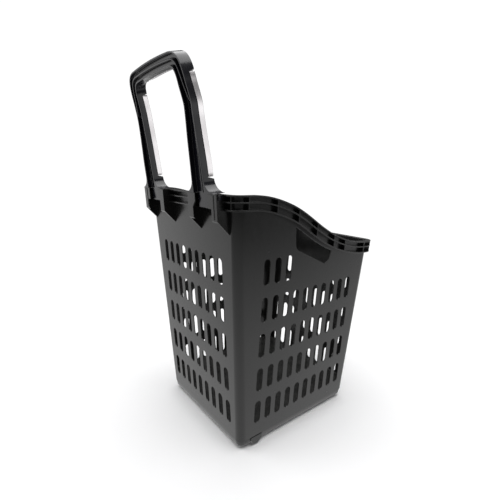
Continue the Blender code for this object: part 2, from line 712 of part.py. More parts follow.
def build_screws(material):
    """The screws that hold the base to the basket's bosses, each with its head in a recess."""
    profile = (
        (SCREW_POINT_R, SCREW_LOW),
        (SCREW_HEAD_R, SCREW_LOW),
        (SCREW_HEAD_R, SCREW_NECK),
        (SCREW_SHANK_R, SCREW_NECK),
        (SCREW_SHANK_R, SCREW_SHANK_TOP),
        (SCREW_POINT_R, SCREW_TIP),
    )
    around = [Vector((math.cos(math.pi * k / 6), math.sin(math.pi * k / 6), 0)) for k in range(12)]
    for number, (x, y) in enumerate(SCREWS, 1):
        bm = bmesh.new()
        loft(bm, [[Vector((x, y, z)) + radius * way for way in around] for radius, z in profile])
        new_object(f"base_screw_{number}", bm, material, (x, y, 0))


def wheel(bm, centre, radius, width, bore, part):
    """Tyre or hub of a wheel whose axle runs along X."""
    half, rim_r = width / 2, radius * 0.70
    if part == "tyre":
        low, shoulder = rim_r + GAP, 0.0025
        side = ((low, half), (radius - shoulder, half), (radius, half - shoulder))
    else:
        boss, web, lip = half - 0.0004, half * 0.55, half - 0.0006
        side = ((bore, boss), (bore + 0.003, boss), (bore + 0.003, web), (rim_r - 0.0025, web))
        side += ((rim_r - 0.0025, lip), (rim_r, lip))
    turned(bm, side + tuple((r, -x) for r, x in side[::-1]), centre)


def build_fixed_wheels(rubber, white, steel):
    for side, sx in LEFT_RIGHT:
        centre = Vector((sx * WHEEL_X, WHEEL_Y, WHEEL_R))
        for part, material in (("tyre", rubber), ("hub", white)):
            bm = bmesh.new()
            wheel(bm, centre, WHEEL_R, WHEEL_W, AXLE_R + GAP, part)
            new_object(f"rear_{part}_{side}", bm, material, centre)
        bm = bmesh.new()
        reach = sorted(sx * x for x in AXLE_SPAN)
        disc(bm, AXLE_R, (0, WHEEL_Y, WHEEL_R), *reach, axis="X", segments=16)
        new_object(f"rear_axle_{side}", bm, steel, centre)


def fork_cheek(bm, x, sign):
    """One of the two arms that come down from the crown to the castor's axle."""
    axle_y = CASTOR_Y + CASTOR_TRAIL
    near = CASTOR_W / 2 + FORK_CLEAR
    outline = [(CASTOR_Y - 0.0085, FORK_TOP), (CASTOR_Y - 0.0070, FORK_SHOULDER)]
    for k in range(7):
        angle = math.radians(200 + 160 * k / 6)
        across, up = FORK_EYE_R * math.cos(angle), FORK_EYE_R * math.sin(angle)
        outline.append((axle_y + across, CASTOR_R + up))
    outline += [(axle_y + 0.0062, FORK_SHOULDER), (CASTOR_Y + 0.0085, FORK_TOP)]
    loft(bm, [[(x + sign * shift, y, z) for y, z in outline] for shift in (near, near + FORK_WALL)])


def build_fork(side, pivot, hub_centre, material):
    """A castor's fork: its crown with the stem on top, the two arms, and the axle's bore."""
    crown, stem, arms, bore = (bmesh.new() for _ in range(4))
    disc(crown, CROWN_R, pivot, CROWN_LOW, CROWN_TOP, segments=20)
    disc(stem, STEM_R, pivot, FORK_TOP, STEM_TOP, segments=16)
    for sign in (-1, 1):
        fork_cheek(arms, pivot.x, sign)
    disc(bore, CASTOR_AXLE_R + GAP, hub_centre, -CROWN_R, CROWN_R, axis="X", segments=12)
    fork = new_object(f"castor_fork_{side}", crown, material, pivot)
    combine(fork, "UNION", f"fork_stem_{side}", stem)
    combine(fork, "UNION", f"fork_cheeks_{side}", arms)
    combine(fork, "DIFFERENCE", f"fork_bore_{side}", bore)


def build_castors(rubber, white, steel, nylon):
    for side, sx in LEFT_RIGHT:
        pivot = Vector((sx * CASTOR_X, CASTOR_Y, 0))
        hub_centre = pivot + Vector((0, CASTOR_TRAIL, CASTOR_R))
        build_fork(side, pivot, hub_centre, nylon)
        for part, material in (("tyre", rubber), ("hub", white)):
            bm = bmesh.new()
            wheel(bm, hub_centre, CASTOR_R, CASTOR_W, CASTOR_AXLE_R + GAP, part)
            new_object(f"castor_{part}_{side}", bm, material, hub_centre)
        bm = bmesh.new()
        reach = (-CASTOR_AXLE_HALF, CASTOR_AXLE_HALF)
        disc(bm, CASTOR_AXLE_R, hub_centre, *reach, axis="X", segments=12)
        new_object(f"castor_axle_{side}", bm, steel, hub_centre)
        for name, ring, material in (("washer", WASHER, white), ("retainer", RETAINER, steel)):
            bore, radius, low, high = ring
            bm = bmesh.new()
            turned(bm, ((bore, low), (radius, low), (radius, high), (bore, high)), pivot, "Z", 20)
            new_object(f"castor_{name}_{side}", bm, material, pivot)


def main():
    clear_scene()
    black = plastic("black_polypropylene", (0.022, 0.022, 0.023), 0.45)
    gloss = plastic("black_handle_plastic", (0.012, 0.012, 0.015), 0.25)
    bright = plastic("bright_trim", (0.78, 0.77, 0.78), 0.12, 1.0)
    rubber = plastic("black_rubber", (0.012, 0.012, 0.012), 0.75)
    grey = plastic("grey_nylon", (0.30, 0.30, 0.31), 0.45)
    steel = plastic("zinc_steel", (0.60, 0.60, 0.62), 0.30, 1.0)
    build_basket(black)
    build_handle(gloss, bright)
    build_base(black)
    build_screws(steel)
    build_fixed_wheels(rubber, grey, steel)
    build_castors(rubber, grey, steel, black)


main()
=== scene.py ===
"""Looks of a rolling basket trolley: a slotted basket with a hoop handle, on a low wheeled base.

Metres, +Z up. The handle side, where the user walks, is +Y and the low front rim is at -Y. Left is
+X, as the user who pushes the trolley sees it, and the floor is z = 0.
"""

import json
import logging
import math
import sys
from collections.abc import Callable, Iterable, Sequence
from dataclasses import dataclass, field
from enum import Enum
from functools import cached_property
from typing import Any

import bmesh
import bpy
from mathutils import Matrix, Vector

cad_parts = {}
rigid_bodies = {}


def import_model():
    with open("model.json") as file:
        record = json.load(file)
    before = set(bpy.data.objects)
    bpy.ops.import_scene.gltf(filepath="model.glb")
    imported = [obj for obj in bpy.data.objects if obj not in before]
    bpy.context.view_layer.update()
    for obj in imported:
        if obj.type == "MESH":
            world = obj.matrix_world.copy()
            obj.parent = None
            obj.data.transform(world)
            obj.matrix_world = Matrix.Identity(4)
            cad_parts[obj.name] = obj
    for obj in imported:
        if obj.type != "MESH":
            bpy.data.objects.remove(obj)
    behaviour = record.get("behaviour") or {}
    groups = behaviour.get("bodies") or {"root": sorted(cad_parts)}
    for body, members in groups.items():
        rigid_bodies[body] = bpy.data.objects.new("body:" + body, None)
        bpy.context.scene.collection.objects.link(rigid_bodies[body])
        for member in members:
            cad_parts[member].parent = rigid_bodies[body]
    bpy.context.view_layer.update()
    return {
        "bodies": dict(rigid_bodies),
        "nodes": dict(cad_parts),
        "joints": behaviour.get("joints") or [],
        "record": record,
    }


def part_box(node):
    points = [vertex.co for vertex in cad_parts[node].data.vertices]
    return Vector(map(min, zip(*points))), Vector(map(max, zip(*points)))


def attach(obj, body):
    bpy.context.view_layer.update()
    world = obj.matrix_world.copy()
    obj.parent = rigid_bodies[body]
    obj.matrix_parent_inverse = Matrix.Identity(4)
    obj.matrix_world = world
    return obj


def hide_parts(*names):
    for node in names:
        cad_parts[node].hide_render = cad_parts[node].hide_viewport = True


LOG = logging.getLogger("trolley")
GAP = 0.0003  # between pieces that touch
OVERRUN = 0.010  # how far a cutter goes past what it cuts
SHARP_ANGLE = math.radians(38)  # least bend of an edge that shows as a crease
ROUNDED_ANGLE = math.radians(40)  # least bend of an edge that is rounded
LARGE_FACE_WEIGHT = 90  # how much more a large face counts than a small one at a shared edge
ROUND_ANGLES = (0.0, math.pi / 6, math.pi / 3, math.pi / 2)  # steps of a small quarter round

Ring = list[Vector]
Colour = tuple[float, float, float]


class Side(Enum):
    """The user's left or right, with the sign of its x."""

    LEFT = 1
    RIGHT = -1

    @property
    def label(self) -> str:
        """The side's name in the names of CAD nodes and bodies."""
        return self.name.lower()


# ---------------------------------------------------------------- meshes


def mesh_object(name: str, bm: bmesh.types.BMesh) -> bpy.types.Object:
    """Turn a bmesh in world space into an object at the origin.

    Args:
        name: The piece's name.
        bm: The bmesh, which is freed.

    Returns:
        The new object, with its normals facing out and its edges split by angle.
    """
    bmesh.ops.recalc_face_normals(bm, faces=bm.faces)
    mesh = bpy.data.meshes.new(name)
    bm.to_mesh(mesh)
    bm.free()
    mesh.shade_smooth()
    mesh.set_sharp_from_angle(angle=SHARP_ANGLE)
    obj = bpy.data.objects.new(name, mesh)
    bpy.context.scene.collection.objects.link(obj)
    return obj


def loft(bm: bmesh.types.BMesh, rings: Sequence[Ring], closed: bool = False) -> None:
    """Skin a row of equal rings, with caps unless the row closes on itself.

    Args:
        bm: The bmesh to add to.
        rings: Rings of points, in order.
        closed: Whether the last ring joins the first one.
    """
    loops = [[bm.verts.new(point) for point in ring] for ring in rings]
    pairs = list(zip(loops, loops[1:]))
    if closed:
        pairs.append((loops[-1], loops[0]))
    else:
        bm.faces.new(loops[0][::-1])
        bm.faces.new(loops[-1])
    for lower, upper in pairs:
        for i, j in zip(range(len(lower)), [*range(1, len(lower)), 0]):
            bm.faces.new((lower[i], lower[j], upper[j], upper[i]))


def made_plain(obj: bpy.types.Object) -> bpy.types.Object:
    """Replace the object's mesh with its evaluated one and drop its modifiers.

    Args:
        obj: The object.

    Returns:
        The same object.
    """
    bpy.context.view_layer.update()
    graph = bpy.context.evaluated_depsgraph_get()
    mesh = bpy.data.meshes.new_from_object(obj.evaluated_get(graph), depsgraph=graph)
    obj.modifiers.clear()
    obj.data = mesh
    mesh.name = obj.name
    return obj


def boolean(target: bpy.types.Object, operation: str, tool: bpy.types.Object) -> None:
    """Join a tool to the target or cut it away, and remove the tool.

    Args:
        target: The object that is changed.
        operation: UNION or DIFFERENCE.
        tool: The object that is used up.
    """
    modifier = target.modifiers.new(tool.name, "BOOLEAN")
    modifier.operation = operation
    modifier.solver = "EXACT"
    modifier.object = tool
    made_plain(target)
    bpy.data.objects.remove(tool, do_unlink=True)


def rounded(obj: bpy.types.Object, radius: float, segments: int = 2) -> None:
    """Round the object's sharp edges.

    Args:
        obj: The object.
        radius: The rounding's radius.
        segments: Faces across the rounding.
    """
    modifier = obj.modifiers.new("rounding", "BEVEL")
    modifier.limit_method = "ANGLE"
    modifier.angle_limit = ROUNDED_ANGLE
    modifier.width = radius
    modifier.segments = segments
    made_plain(obj)


def even_shading(obj: bpy.types.Object) -> None:
    """Let large flat faces set the normals at their rounded edges.

    Args:
        obj: The object.
    """
    obj.data.shade_smooth()
    obj.data.set_sharp_from_angle(angle=SHARP_ANGLE)
    modifier = obj.modifiers.new("even_shading", "WEIGHTED_NORMAL")
    modifier.mode = "FACE_AREA"
    modifier.weight = LARGE_FACE_WEIGHT
    modifier.keep_sharp = True
    made_plain(obj)


def arc(centre: Vector, radius: float, start: float, end: float, steps: int) -> list[Vector]:
    """Points of a flat arc, both ends included.

    Args:
        centre: The arc's centre in two dimensions.
        radius: Its radius.
        start: First angle in degrees.
        end: Last angle in degrees.
        steps: Number of chords.

    Returns:
        The points, as two-dimensional vectors.
    """
    angles = [math.radians(start + (end - start) * k / steps) for k in range(steps + 1)]
    return [centre + radius * Vector((math.cos(a), math.sin(a))) for a in angles]


def fillet(before: Vector, corner: Vector, after: Vector, radius: float, steps: int) -> list[Vector]:
    """Round one corner of a flat outline.

    Args:
        before: The outline's point before the corner.
        corner: The corner.
        after: The point after it.
        radius: The rounding's radius.
        steps: Number of chords.

    Returns:
        The points that stand for the corner.
    """
    arm_a, arm_b = (before - corner).normalized(), (after - corner).normalized()
    half = arm_a.angle(arm_b) / 2
    reach = radius / math.tan(half)
    start, end = corner + arm_a * reach, corner + arm_b * reach
    centre = corner + (arm_a + arm_b).normalized() * (radius / math.sin(half))
    chords = [start.lerp(end, k / steps) - centre for k in range(steps + 1)]
    return [centre + chord.normalized() * radius for chord in chords]


def turned(profile: Sequence[tuple[float, float]], centre: Vector, segments: int) -> bmesh.types.BMesh:
    """Turn a closed profile round an axis along X through the centre.

    Args:
        profile: Points of (radius, distance along the axis).
        centre: A point on the axis.
        segments: Number of faces round the axis.

    Returns:
        The turned shape.
    """
    rings = []
    for k in range(segments):
        turn = Matrix.Rotation(2 * math.pi * k / segments, 3, "X")
        rings.append([centre + turn @ Vector((along, radius, 0)) for radius, along in profile])
    bm = bmesh.new()
    loft(bm, rings, closed=True)
    return bm


def cylinder(
    bm: bmesh.types.BMesh,
    radius: float,
    centre: Vector,
    low: float,
    high: float,
    axis: str = "Z",
    segments: int = 32,
) -> None:
    """Add a solid cylinder.

    Args:
        bm: The bmesh to add to.
        radius: Its radius.
        centre: A point on its axis.
        low: Where it starts along the axis, from the centre.
        high: Where it ends.
        axis: X or Z.
        segments: Number of sides.
    """
    along = Vector((0, 0, 1)) if axis == "Z" else Vector((1, 0, 0))
    turn = Matrix.Rotation(math.pi / 2, 4, "Y") if axis == "X" else Matrix.Identity(4)
    place = Matrix.Translation(centre + along * (low + high) / 2) @ turn
    size = {"radius1": radius, "radius2": radius, "depth": high - low}
    bmesh.ops.create_cone(bm, cap_ends=True, segments=segments, matrix=place, **size)


def block(bm: bmesh.types.BMesh, low: Sequence[float], high: Sequence[float]) -> None:
    """Add a box.

    Args:
        bm: The bmesh to add to.
        low: Its lowest corner.
        high: Its highest corner.
    """
    middle = (Vector(low) + Vector(high)) / 2
    size = Vector(high) - Vector(low)
    place = Matrix.Translation(middle) @ Matrix.Diagonal((*size, 1))
    bmesh.ops.create_cube(bm, size=1, matrix=place)


def slab(name: str, rings: Sequence[Ring]) -> bpy.types.Object:
    """A closed solid skinned over rings of points, as an object.

    Args:
        name: The object's name.
        rings: Its rings, in order.

    Returns:
        The new object.
    """
    bm = bmesh.new()
    loft(bm, rings)
    return mesh_object(name, bm)


def points_object(name: str, points: Sequence[Sequence[float]]) -> bpy.types.Object:
    """An object of bare points, for a tree to work on.

    Args:
        name: The object's name.
        points: The points' places.

    Returns:
        The new object.
    """
    mesh = bpy.data.meshes.new(name)
    mesh.from_pydata(points, [], [])
    obj = bpy.data.objects.new(name, mesh)
    bpy.context.scene.collection.objects.link(obj)
    return obj


# ---------------------------------------------------------------- node trees


class TreeBuilder:
    """Adds nodes to a tree, each with its values and links in one call."""

    def __init__(self, tree: bpy.types.NodeTree) -> None:
        """Keep the tree."""
        self.tree = tree

    def add(self, kind: str, values: dict[str | int, Any] | None = None, **settings: Any) -> bpy.types.Node:
        """Add one node.

        Args:
            kind: The node's type.
            values: A value, or another node's output, for each named input.
            settings: The node's own properties.

        Returns:
            The new node.
        """
        node = self.tree.nodes.new(kind)
        for key, value in settings.items():
            setattr(node, key, value)
        for key, value in (values or {}).items():
            if isinstance(value, bpy.types.NodeSocket):
                self.tree.links.new(value, node.inputs[key])
            else:
                node.inputs[key].default_value = value
        return node

    def math(self, operation: str, first: Any, second: Any = 0.0, clamp: bool = False) -> bpy.types.NodeSocket:
        """The output of a Math node with these two values."""
        return self.add("ShaderNodeMath", {0: first, 1: second}, operation=operation, use_clamp=clamp).outputs[0]

    def vector_math(self, operation: str, first: Any, second: Any) -> bpy.types.Node:
        """A Vector Math node with these two values."""
        return self.add("ShaderNodeVectorMath", {0: first, 1: second}, operation=operation)

    def remap(
        self, value: Any, low: float, high: float, to_low: float = 0.0, to_high: float = 1.0
    ) -> bpy.types.NodeSocket:
        """The value's range from low to high, moved to another range and held within it."""
        values = {"Value": value, "From Min": low, "From Max": high, "To Min": to_low, "To Max": to_high}
        return self.add("ShaderNodeMapRange", values).outputs["Result"]

    def between(self, share: Any, first: Any, second: Any) -> bpy.types.NodeSocket:
        """The number between two, by a share from 0 to 1."""
        return self.add("ShaderNodeMix", {0: share, 2: first, 3: second}).outputs[0]

    def place(self) -> bpy.types.NodeSocket:
        """The Object coordinates."""
        return self.add("ShaderNodeTexCoord").outputs["Object"]

    def noise(self, place: Any, scale: Any, detail: float, **more: Any) -> bpy.types.NodeSocket:
        """The value of a noise, which stays near the middle of 0 to 1."""
        values = {"Vector": place, "Scale": scale, "Detail": detail} | more
        return self.add("ShaderNodeTexNoise", values).outputs[0]

    def link(self, *pairs: tuple[Any, Any]) -> None:
        """Join each output to its input."""
        for value, socket in pairs:
            self.tree.links.new(value, socket)


def new_group(
    name: str, kind: str, inputs: dict[str, tuple[str, Any]], outputs: dict[str, str]
) -> tuple[TreeBuilder, Any, Any]:
    """Start a node group with named sockets.

    Args:
        name: The group's name.
        kind: ShaderNodeTree or GeometryNodeTree.
        inputs: Socket type and default for each input.
        outputs: Socket type of each output.

    Returns:
        The builder, the group's inputs and its output node.
    """
    tree = bpy.data.node_groups.new(name, kind)
    for label, (socket_type, default) in inputs.items():
        socket = tree.interface.new_socket(label, in_out="INPUT", socket_type=socket_type)
        if default is not None:
            socket.default_value = default
    for label, socket_type in outputs.items():
        tree.interface.new_socket(label, in_out="OUTPUT", socket_type=socket_type)
    build = TreeBuilder(tree)
    return build, build.add("NodeGroupInput").outputs, build.add("NodeGroupOutput")


def run_tree(obj: bpy.types.Object, tree: bpy.types.NodeTree, values: dict[str, Any]) -> None:
    """Put a geometry tree on an object and set its named inputs.

    Args:
        obj: The object that gets the modifier.
        tree: The geometry node tree.
        values: A value for each named input.
    """
    modifier = obj.modifiers.new(tree.name, "NODES")
    modifier.node_group = tree
    for item in tree.interface.items_tree:
        if item.item_type == "SOCKET" and item.in_out == "INPUT" and item.name in values:
            modifier[item.identifier] = values[item.name]


FLOAT, INTEGER, VECTOR = "NodeSocketFloat", "NodeSocketInt", "NodeSocketVector"
GEOMETRY, OBJECT, MATERIAL = "NodeSocketGeometry", "NodeSocketObject", "NodeSocketMaterial"


class Repeats:
    """The geometry trees that make what repeats, each built when it is first asked for."""

    @cached_property
    def on_points(self) -> bpy.types.NodeTree:
        """A copy of a shape on every point that comes in."""
        build, source, result = self._start("on_points", {"Shape": (OBJECT, None), "Size": (FLOAT, 1.0)})
        scale = build.add("ShaderNodeCombineXYZ", {axis: source["Size"] for axis in "XYZ"})
        copies = self._copies(build, source["Shape"], source["Geometry"], Scale=scale.outputs[0])
        return self._end(build, source, result, copies)

    @cached_property
    def slot_field(self) -> bpy.types.NodeTree:
        """Rows and columns of one tool, added to the geometry that comes in."""
        inputs = {"Tool": (OBJECT, None), "Columns": (INTEGER, 9), "Rows": (INTEGER, 5)}
        inputs |= {name: (VECTOR, None) for name in ("First", "Column Step", "Row Step", "Turn")}
        build, source, result = self._start("slot_field", inputs)
        count = build.math("MULTIPLY", source["Columns"], source["Rows"])
        index = build.add("GeometryNodeInputIndex").outputs[0]
        column = build.math("MODULO", index, source["Columns"])
        row = build.math("FLOOR", build.math("DIVIDE", index, source["Columns"]))
        across, down = (
            build.add("ShaderNodeVectorMath", {0: source[f"{name} Step"], "Scale": number}, operation="SCALE")
            for name, number in (("Column", column), ("Row", row))
        )
        offset = build.vector_math("ADD", across.outputs[0], down.outputs[0])
        place = build.vector_math("ADD", source["First"], offset.outputs[0])
        points = build.add("GeometryNodePoints", {"Count": count})
        values = {"Geometry": points.outputs[0], "Position": place.outputs[0]}
        placed = build.add("GeometryNodeSetPosition", values)
        turn = build.add("FunctionNodeEulerToRotation", {"Euler": source["Turn"]})
        copies = self._copies(build, source["Tool"], placed.outputs[0], Rotation=turn.outputs[0])
        return self._end(build, source, result, copies, joined=True)

    @cached_property
    def upright_ribs(self) -> bpy.types.NodeTree:
        """A rounded rib on every point, as high and as turned as the point's attributes say."""
        inputs = {"Thickness": (FLOAT, 0.0026), "Reach": (FLOAT, 0.012), "Rounding": (FLOAT, 0.0006)}
        build, source, result = self._start("upright_ribs", inputs)
        values = {"Width": source["Reach"], "Height": source["Thickness"]}
        outline = build.add("GeometryNodeCurvePrimitiveQuadrilateral", values)
        values = {"Curve": outline.outputs[0], "Radius": source["Rounding"], "Count": 3}
        soft = build.add("GeometryNodeFilletCurve", values, mode="POLY")
        stem = build.add("GeometryNodeCurvePrimitiveLine", {"End": (0.0, 0.0, 1.0)})
        values = {"Curve": stem.outputs[0], "Profile Curve": soft.outputs[0], "Fill Caps": True}
        plate = build.add("GeometryNodeCurveToMesh", values)
        rise = build.add("GeometryNodeInputNamedAttribute", {"Name": "rise"}, data_type="FLOAT")
        turn = build.add("GeometryNodeInputNamedAttribute", {"Name": "turn"}, data_type="FLOAT_VECTOR")
        size = build.add("ShaderNodeCombineXYZ", {"X": 1.0, "Y": 1.0, "Z": rise.outputs[0]})
        rotation = build.add("FunctionNodeEulerToRotation", {"Euler": turn.outputs[0]})
        values = {"Points": source["Geometry"], "Instance": plate.outputs[0]}
        values |= {"Rotation": rotation.outputs[0], "Scale": size.outputs[0]}
        copies = build.add("GeometryNodeInstanceOnPoints", values)
        return self._end(build, source, result, copies.outputs[0])

    @cached_property
    def ring_of(self) -> bpy.types.NodeTree:
        """Copies of a shape round an axis, joined to the geometry that comes in."""
        inputs = {"Shape": (OBJECT, None), "Count": (INTEGER, 6), "Centre": (VECTOR, None)}
        inputs |= {"Axis": (VECTOR, (1.0, 0.0, 0.0))}
        build, source, result = self._start("ring_of", inputs)
        index = build.add("GeometryNodeInputIndex").outputs[0]
        step = build.math("DIVIDE", 2 * math.pi, source["Count"])
        angle = build.math("MULTIPLY", index, step)
        points = build.add("GeometryNodePoints", {"Count": source["Count"]})
        values = {"Geometry": points.outputs[0], "Position": source["Centre"]}
        placed = build.add("GeometryNodeSetPosition", values)
        turn = build.add("FunctionNodeAxisAngleToRotation", {"Axis": source["Axis"], "Angle": angle})
        copies = self._copies(build, source["Shape"], placed.outputs[0], Rotation=turn.outputs[0])
        return self._end(build, source, result, copies, joined=True)

    @staticmethod
    def _start(name: str, inputs: dict[str, tuple[str, Any]]) -> tuple[TreeBuilder, Any, Any]:
        """Start a tree whose inputs are the geometry, these ones and the material."""
        inputs = {"Geometry": (GEOMETRY, None)} | inputs | {"Material": (MATERIAL, None)}
        return new_group(name, "GeometryNodeTree", inputs, {"Geometry": GEOMETRY})

    @staticmethod
    def _copies(build: TreeBuilder, shape: Any, points: Any, **values: Any) -> bpy.types.NodeSocket:
        """A copy of an object on every point.

        Args:
            build: The tree's builder.
            shape: The socket that gives the object.
            points: The socket that gives the points.
            values: The copies' Rotation or Scale.

        Returns:
            The copies' socket.
        """
        source = build.add("GeometryNodeObjectInfo", {"Object": shape})
        values |= {"Points": points, "Instance": source.outputs["Geometry"]}
        return build.add("GeometryNodeInstanceOnPoints", values).outputs[0]

    @staticmethod
    def _end(build: TreeBuilder, source: Any, result: Any, copies: Any, joined: bool = False) -> bpy.types.NodeTree:
        """End a tree in Realize Instances and Set Material.

        Args:
            build: The tree's builder.
            source: The tree's inputs.
            result: The tree's output node.
            copies: The copies' socket.
            joined: Whether the geometry that comes in stays beside the copies.

        Returns:
            The finished tree.
        """
        if joined:
            both = build.add("GeometryNodeJoinGeometry")
            build.link((source["Geometry"], both.inputs[0]), (copies, both.inputs[0]))
            copies = both.outputs[0]
        real = build.add("GeometryNodeRealizeInstances", {"Geometry": copies})
        values = {"Geometry": real.outputs[0], "Material": source["Material"]}
        dressed = build.add("GeometryNodeSetMaterial", values)
        build.link((dressed.outputs[0], result.inputs[0]))
        return build.tree


# ---------------------------------------------------------------- finishes


class SurfaceEffects:
    """Shader groups that more than one finish uses, each built once."""

    noise_range = (0.3, 0.7)

    def __init__(self) -> None:
        """Build every group."""
        self.grain = self._grain()
        self.wear = self._wear()
        self.dust = self._dust()
        self.brushing = self._brushing()

    def _grain(self) -> bpy.types.NodeTree:
        """Fine moulded texture with slow blotches: Height, Fleck and Patch, each from 0 to 1."""
        inputs = {"Fineness": (FLOAT, 900.0), "Blotches": (FLOAT, 14.0), "Flow": (FLOAT, 3.0)}
        outputs = {"Height": FLOAT, "Fleck": FLOAT, "Patch": FLOAT}
        build, given, result = new_group("moulded_grain", "ShaderNodeTree", inputs, outputs)
        place = build.place()
        fine = build.noise(place, given["Fineness"], 2.0)
        pits = build.add("ShaderNodeTexVoronoi", {"Vector": place, "Scale": given["Fineness"]})
        fleck_scale = build.math("MULTIPLY", given["Blotches"], 9.0)
        fleck = build.noise(place, fleck_scale, 4.0, Roughness=0.6)
        stretched = build.add("ShaderNodeMapping", {"Vector": place, "Scale": (1.0, 1.0, 0.45)})
        patch = build.noise(stretched.outputs[0], given["Blotches"], 3.0, Distortion=given["Flow"])
        height = build.math("MULTIPLY", fine, build.remap(pits.outputs["Distance"], 0.0, 0.6, 0.6, 1.0))
        build.link(
            (height, result.inputs["Height"]),
            (build.remap(fleck, *self.noise_range), result.inputs["Fleck"]),
            (build.remap(patch, *self.noise_range), result.inputs["Patch"]),
        )
        return build.tree

    @staticmethod
    def _wear() -> bpy.types.NodeTree:
        """Edges that get a colour of their own, for rubbed wear and for painted light along them: Mask, from 0 on
        flat faces to 1 on the edges.
        """
        inputs = {"Width": (FLOAT, 0.0012), "Amount": (FLOAT, 1.0), "Breakup": (FLOAT, 160.0)}
        build, given, result = new_group("edge_wear", "ShaderNodeTree", inputs, {"Mask": FLOAT})
        # Painted light: besides rubbed wear, this edge mask lays a painted highlight on the black mouldings and a
        # painted shade outline on the bright trim.
        soft = build.add("ShaderNodeBevel", {"Radius": given["Width"]}, samples=4)
        normal = build.add("ShaderNodeNewGeometry").outputs["Normal"]
        bend = build.vector_math("DOT_PRODUCT", soft.outputs[0], normal).outputs["Value"]
        edge = build.remap(bend, 0.99, 0.80)
        noise = build.noise(build.place(), given["Breakup"], 3.0)
        broken = build.math("MULTIPLY", edge, build.remap(noise, 0.35, 0.65, 0.25, 1.0))
        mask = build.math("MULTIPLY", broken, given["Amount"], clamp=True)
        build.link((mask, result.inputs["Mask"]))
        return build.tree

    @staticmethod
    def _dust() -> bpy.types.NodeTree:
        """Light dust that settles on faces that look up: Mask, from 0 to 1."""
        inputs = {"Amount": (FLOAT, 0.3), "Size": (FLOAT, 60.0)}
        build, given, result = new_group("settled_dust", "ShaderNodeTree", inputs, {"Mask": FLOAT})
        normal = build.add("ShaderNodeNewGeometry").outputs["Normal"]
        up = build.add("ShaderNodeSeparateXYZ", {0: normal}).outputs["Z"]
        noise = build.noise(build.place(), given["Size"], 5.0)
        settled = build.math("MULTIPLY", build.remap(up, 0.25, 0.95), build.remap(noise, 0.35, 0.7, 0.2, 1.0))
        mask = build.math("MULTIPLY", settled, given["Amount"], clamp=True)
        build.link((mask, result.inputs["Mask"]))
        return build.tree

    def _brushing(self) -> bpy.types.NodeTree:
        """Fine streaks along one axis with smears across them: Streak and Smear, from 0 to 1."""
        inputs = {"Stretch": (VECTOR, (900.0, 900.0, 12.0)), "Smears": (FLOAT, 30.0)}
        outputs = {"Streak": FLOAT, "Smear": FLOAT}
        build, given, result = new_group("brushed_streaks", "ShaderNodeTree", inputs, outputs)
        place = build.place()
        scaled = build.vector_math("MULTIPLY", place, given["Stretch"])
        streak = build.noise(scaled.outputs[0], 1.0, 3.0)
        smear = build.noise(place, given["Smears"], 4.0)
        build.link(
            (build.remap(streak, *self.noise_range), result.inputs["Streak"]),
            (build.remap(smear, *self.noise_range), result.inputs["Smear"]),
        )
        return build.tree


def start_material(name: str) -> tuple[TreeBuilder, bpy.types.Node, bpy.types.Material]:
    """Start a node material.

    Args:
        name: The material's name.

    Returns:
        Its builder, its Principled shader and the material.
    """
    material = bpy.data.materials.new(name)
    material.use_nodes = True
    build = TreeBuilder(material.node_tree)
    return build, material.node_tree.nodes["Principled BSDF"], material


def blend_colour(build: TreeBuilder, share: Any, first: Any, second: Any) -> bpy.types.NodeSocket:
    """The colour between two.

    Args:
        build: The tree's builder.
        share: How much of the second one, from 0 to 1.
        first: A colour, or the socket that gives it.
        second: The other one.

    Returns:
        The mixed colour's socket.
    """
    mix = build.add("ShaderNodeMix", data_type="RGBA")
    for index, value in ((0, share), (6, first), (7, second)):
        if isinstance(value, bpy.types.NodeSocket):
            build.tree.links.new(value, mix.inputs[index])
        elif isinstance(value, tuple):
            mix.inputs[index].default_value = (*value, 1.0)
        else:
            mix.inputs[index].default_value = value
    return mix.outputs[2]


@dataclass(frozen=True)
class Plastic:
    """Injection-moulded plastic: fine grain, slow blotches, a little dust and rubbed edges, whose lighter colour on
    the black mouldings is also a painted highlight.

    Its name is also the material's name.
    """

    name: str
    colour: Colour
    blotch: Colour
    # Edge colour: rubbed wear, and on the black mouldings a lighter painted highlight along the edges.
    worn: Colour
    dust: Colour
    roughness: tuple[float, float]
    fineness: float = 900.0
    grain_depth: float = 0.00006
    grain_strength: float = 0.6
    fleck_gloss: float = 0.03
    worn_gloss: float = 0.08
    wear: float = 0.8
    wear_width: float = 0.0012
    dust_amount: float = 0.25
    specular: float = 0.5

    def material(self, effects: SurfaceEffects) -> bpy.types.Material:
        """Build the material.

        Args:
            effects: The shared shader groups.

        Returns:
            The material.
        """
        build, shader, material = start_material(self.name)
        grain = build.add("ShaderNodeGroup", {"Fineness": self.fineness}, node_tree=effects.grain).outputs
        values = {"Width": self.wear_width, "Amount": self.wear}
        worn = build.add("ShaderNodeGroup", values, node_tree=effects.wear).outputs["Mask"]
        dusty = build.add("ShaderNodeGroup", {"Amount": self.dust_amount}, node_tree=effects.dust).outputs["Mask"]
        colour = blend_colour(build, grain["Patch"], self.colour, self.blotch)
        # Edge colour from the edge mask: rubbed wear, with a painted highlight on the black mouldings.
        colour = blend_colour(build, worn, colour, self.worn)
        colour = blend_colour(build, dusty, colour, self.dust)
        gloss = build.remap(grain["Patch"], 0.0, 1.0, *self.roughness)
        flecks = build.remap(grain["Fleck"], 0.0, 1.0, -self.fleck_gloss, self.fleck_gloss)
        gloss = build.math("ADD", gloss, flecks)
        gloss = build.math("SUBTRACT", gloss, build.math("MULTIPLY", worn, self.worn_gloss), clamp=True)
        values = {"Height": grain["Height"], "Strength": self.grain_strength, "Distance": self.grain_depth}
        bump = build.add("ShaderNodeBump", values)
        build.link(
            (colour, shader.inputs["Base Color"]),
            (gloss, shader.inputs["Roughness"]),
            (bump.outputs[0], shader.inputs["Normal"]),
        )
        shader.inputs["Specular IOR Level"].default_value = self.specular
        return material


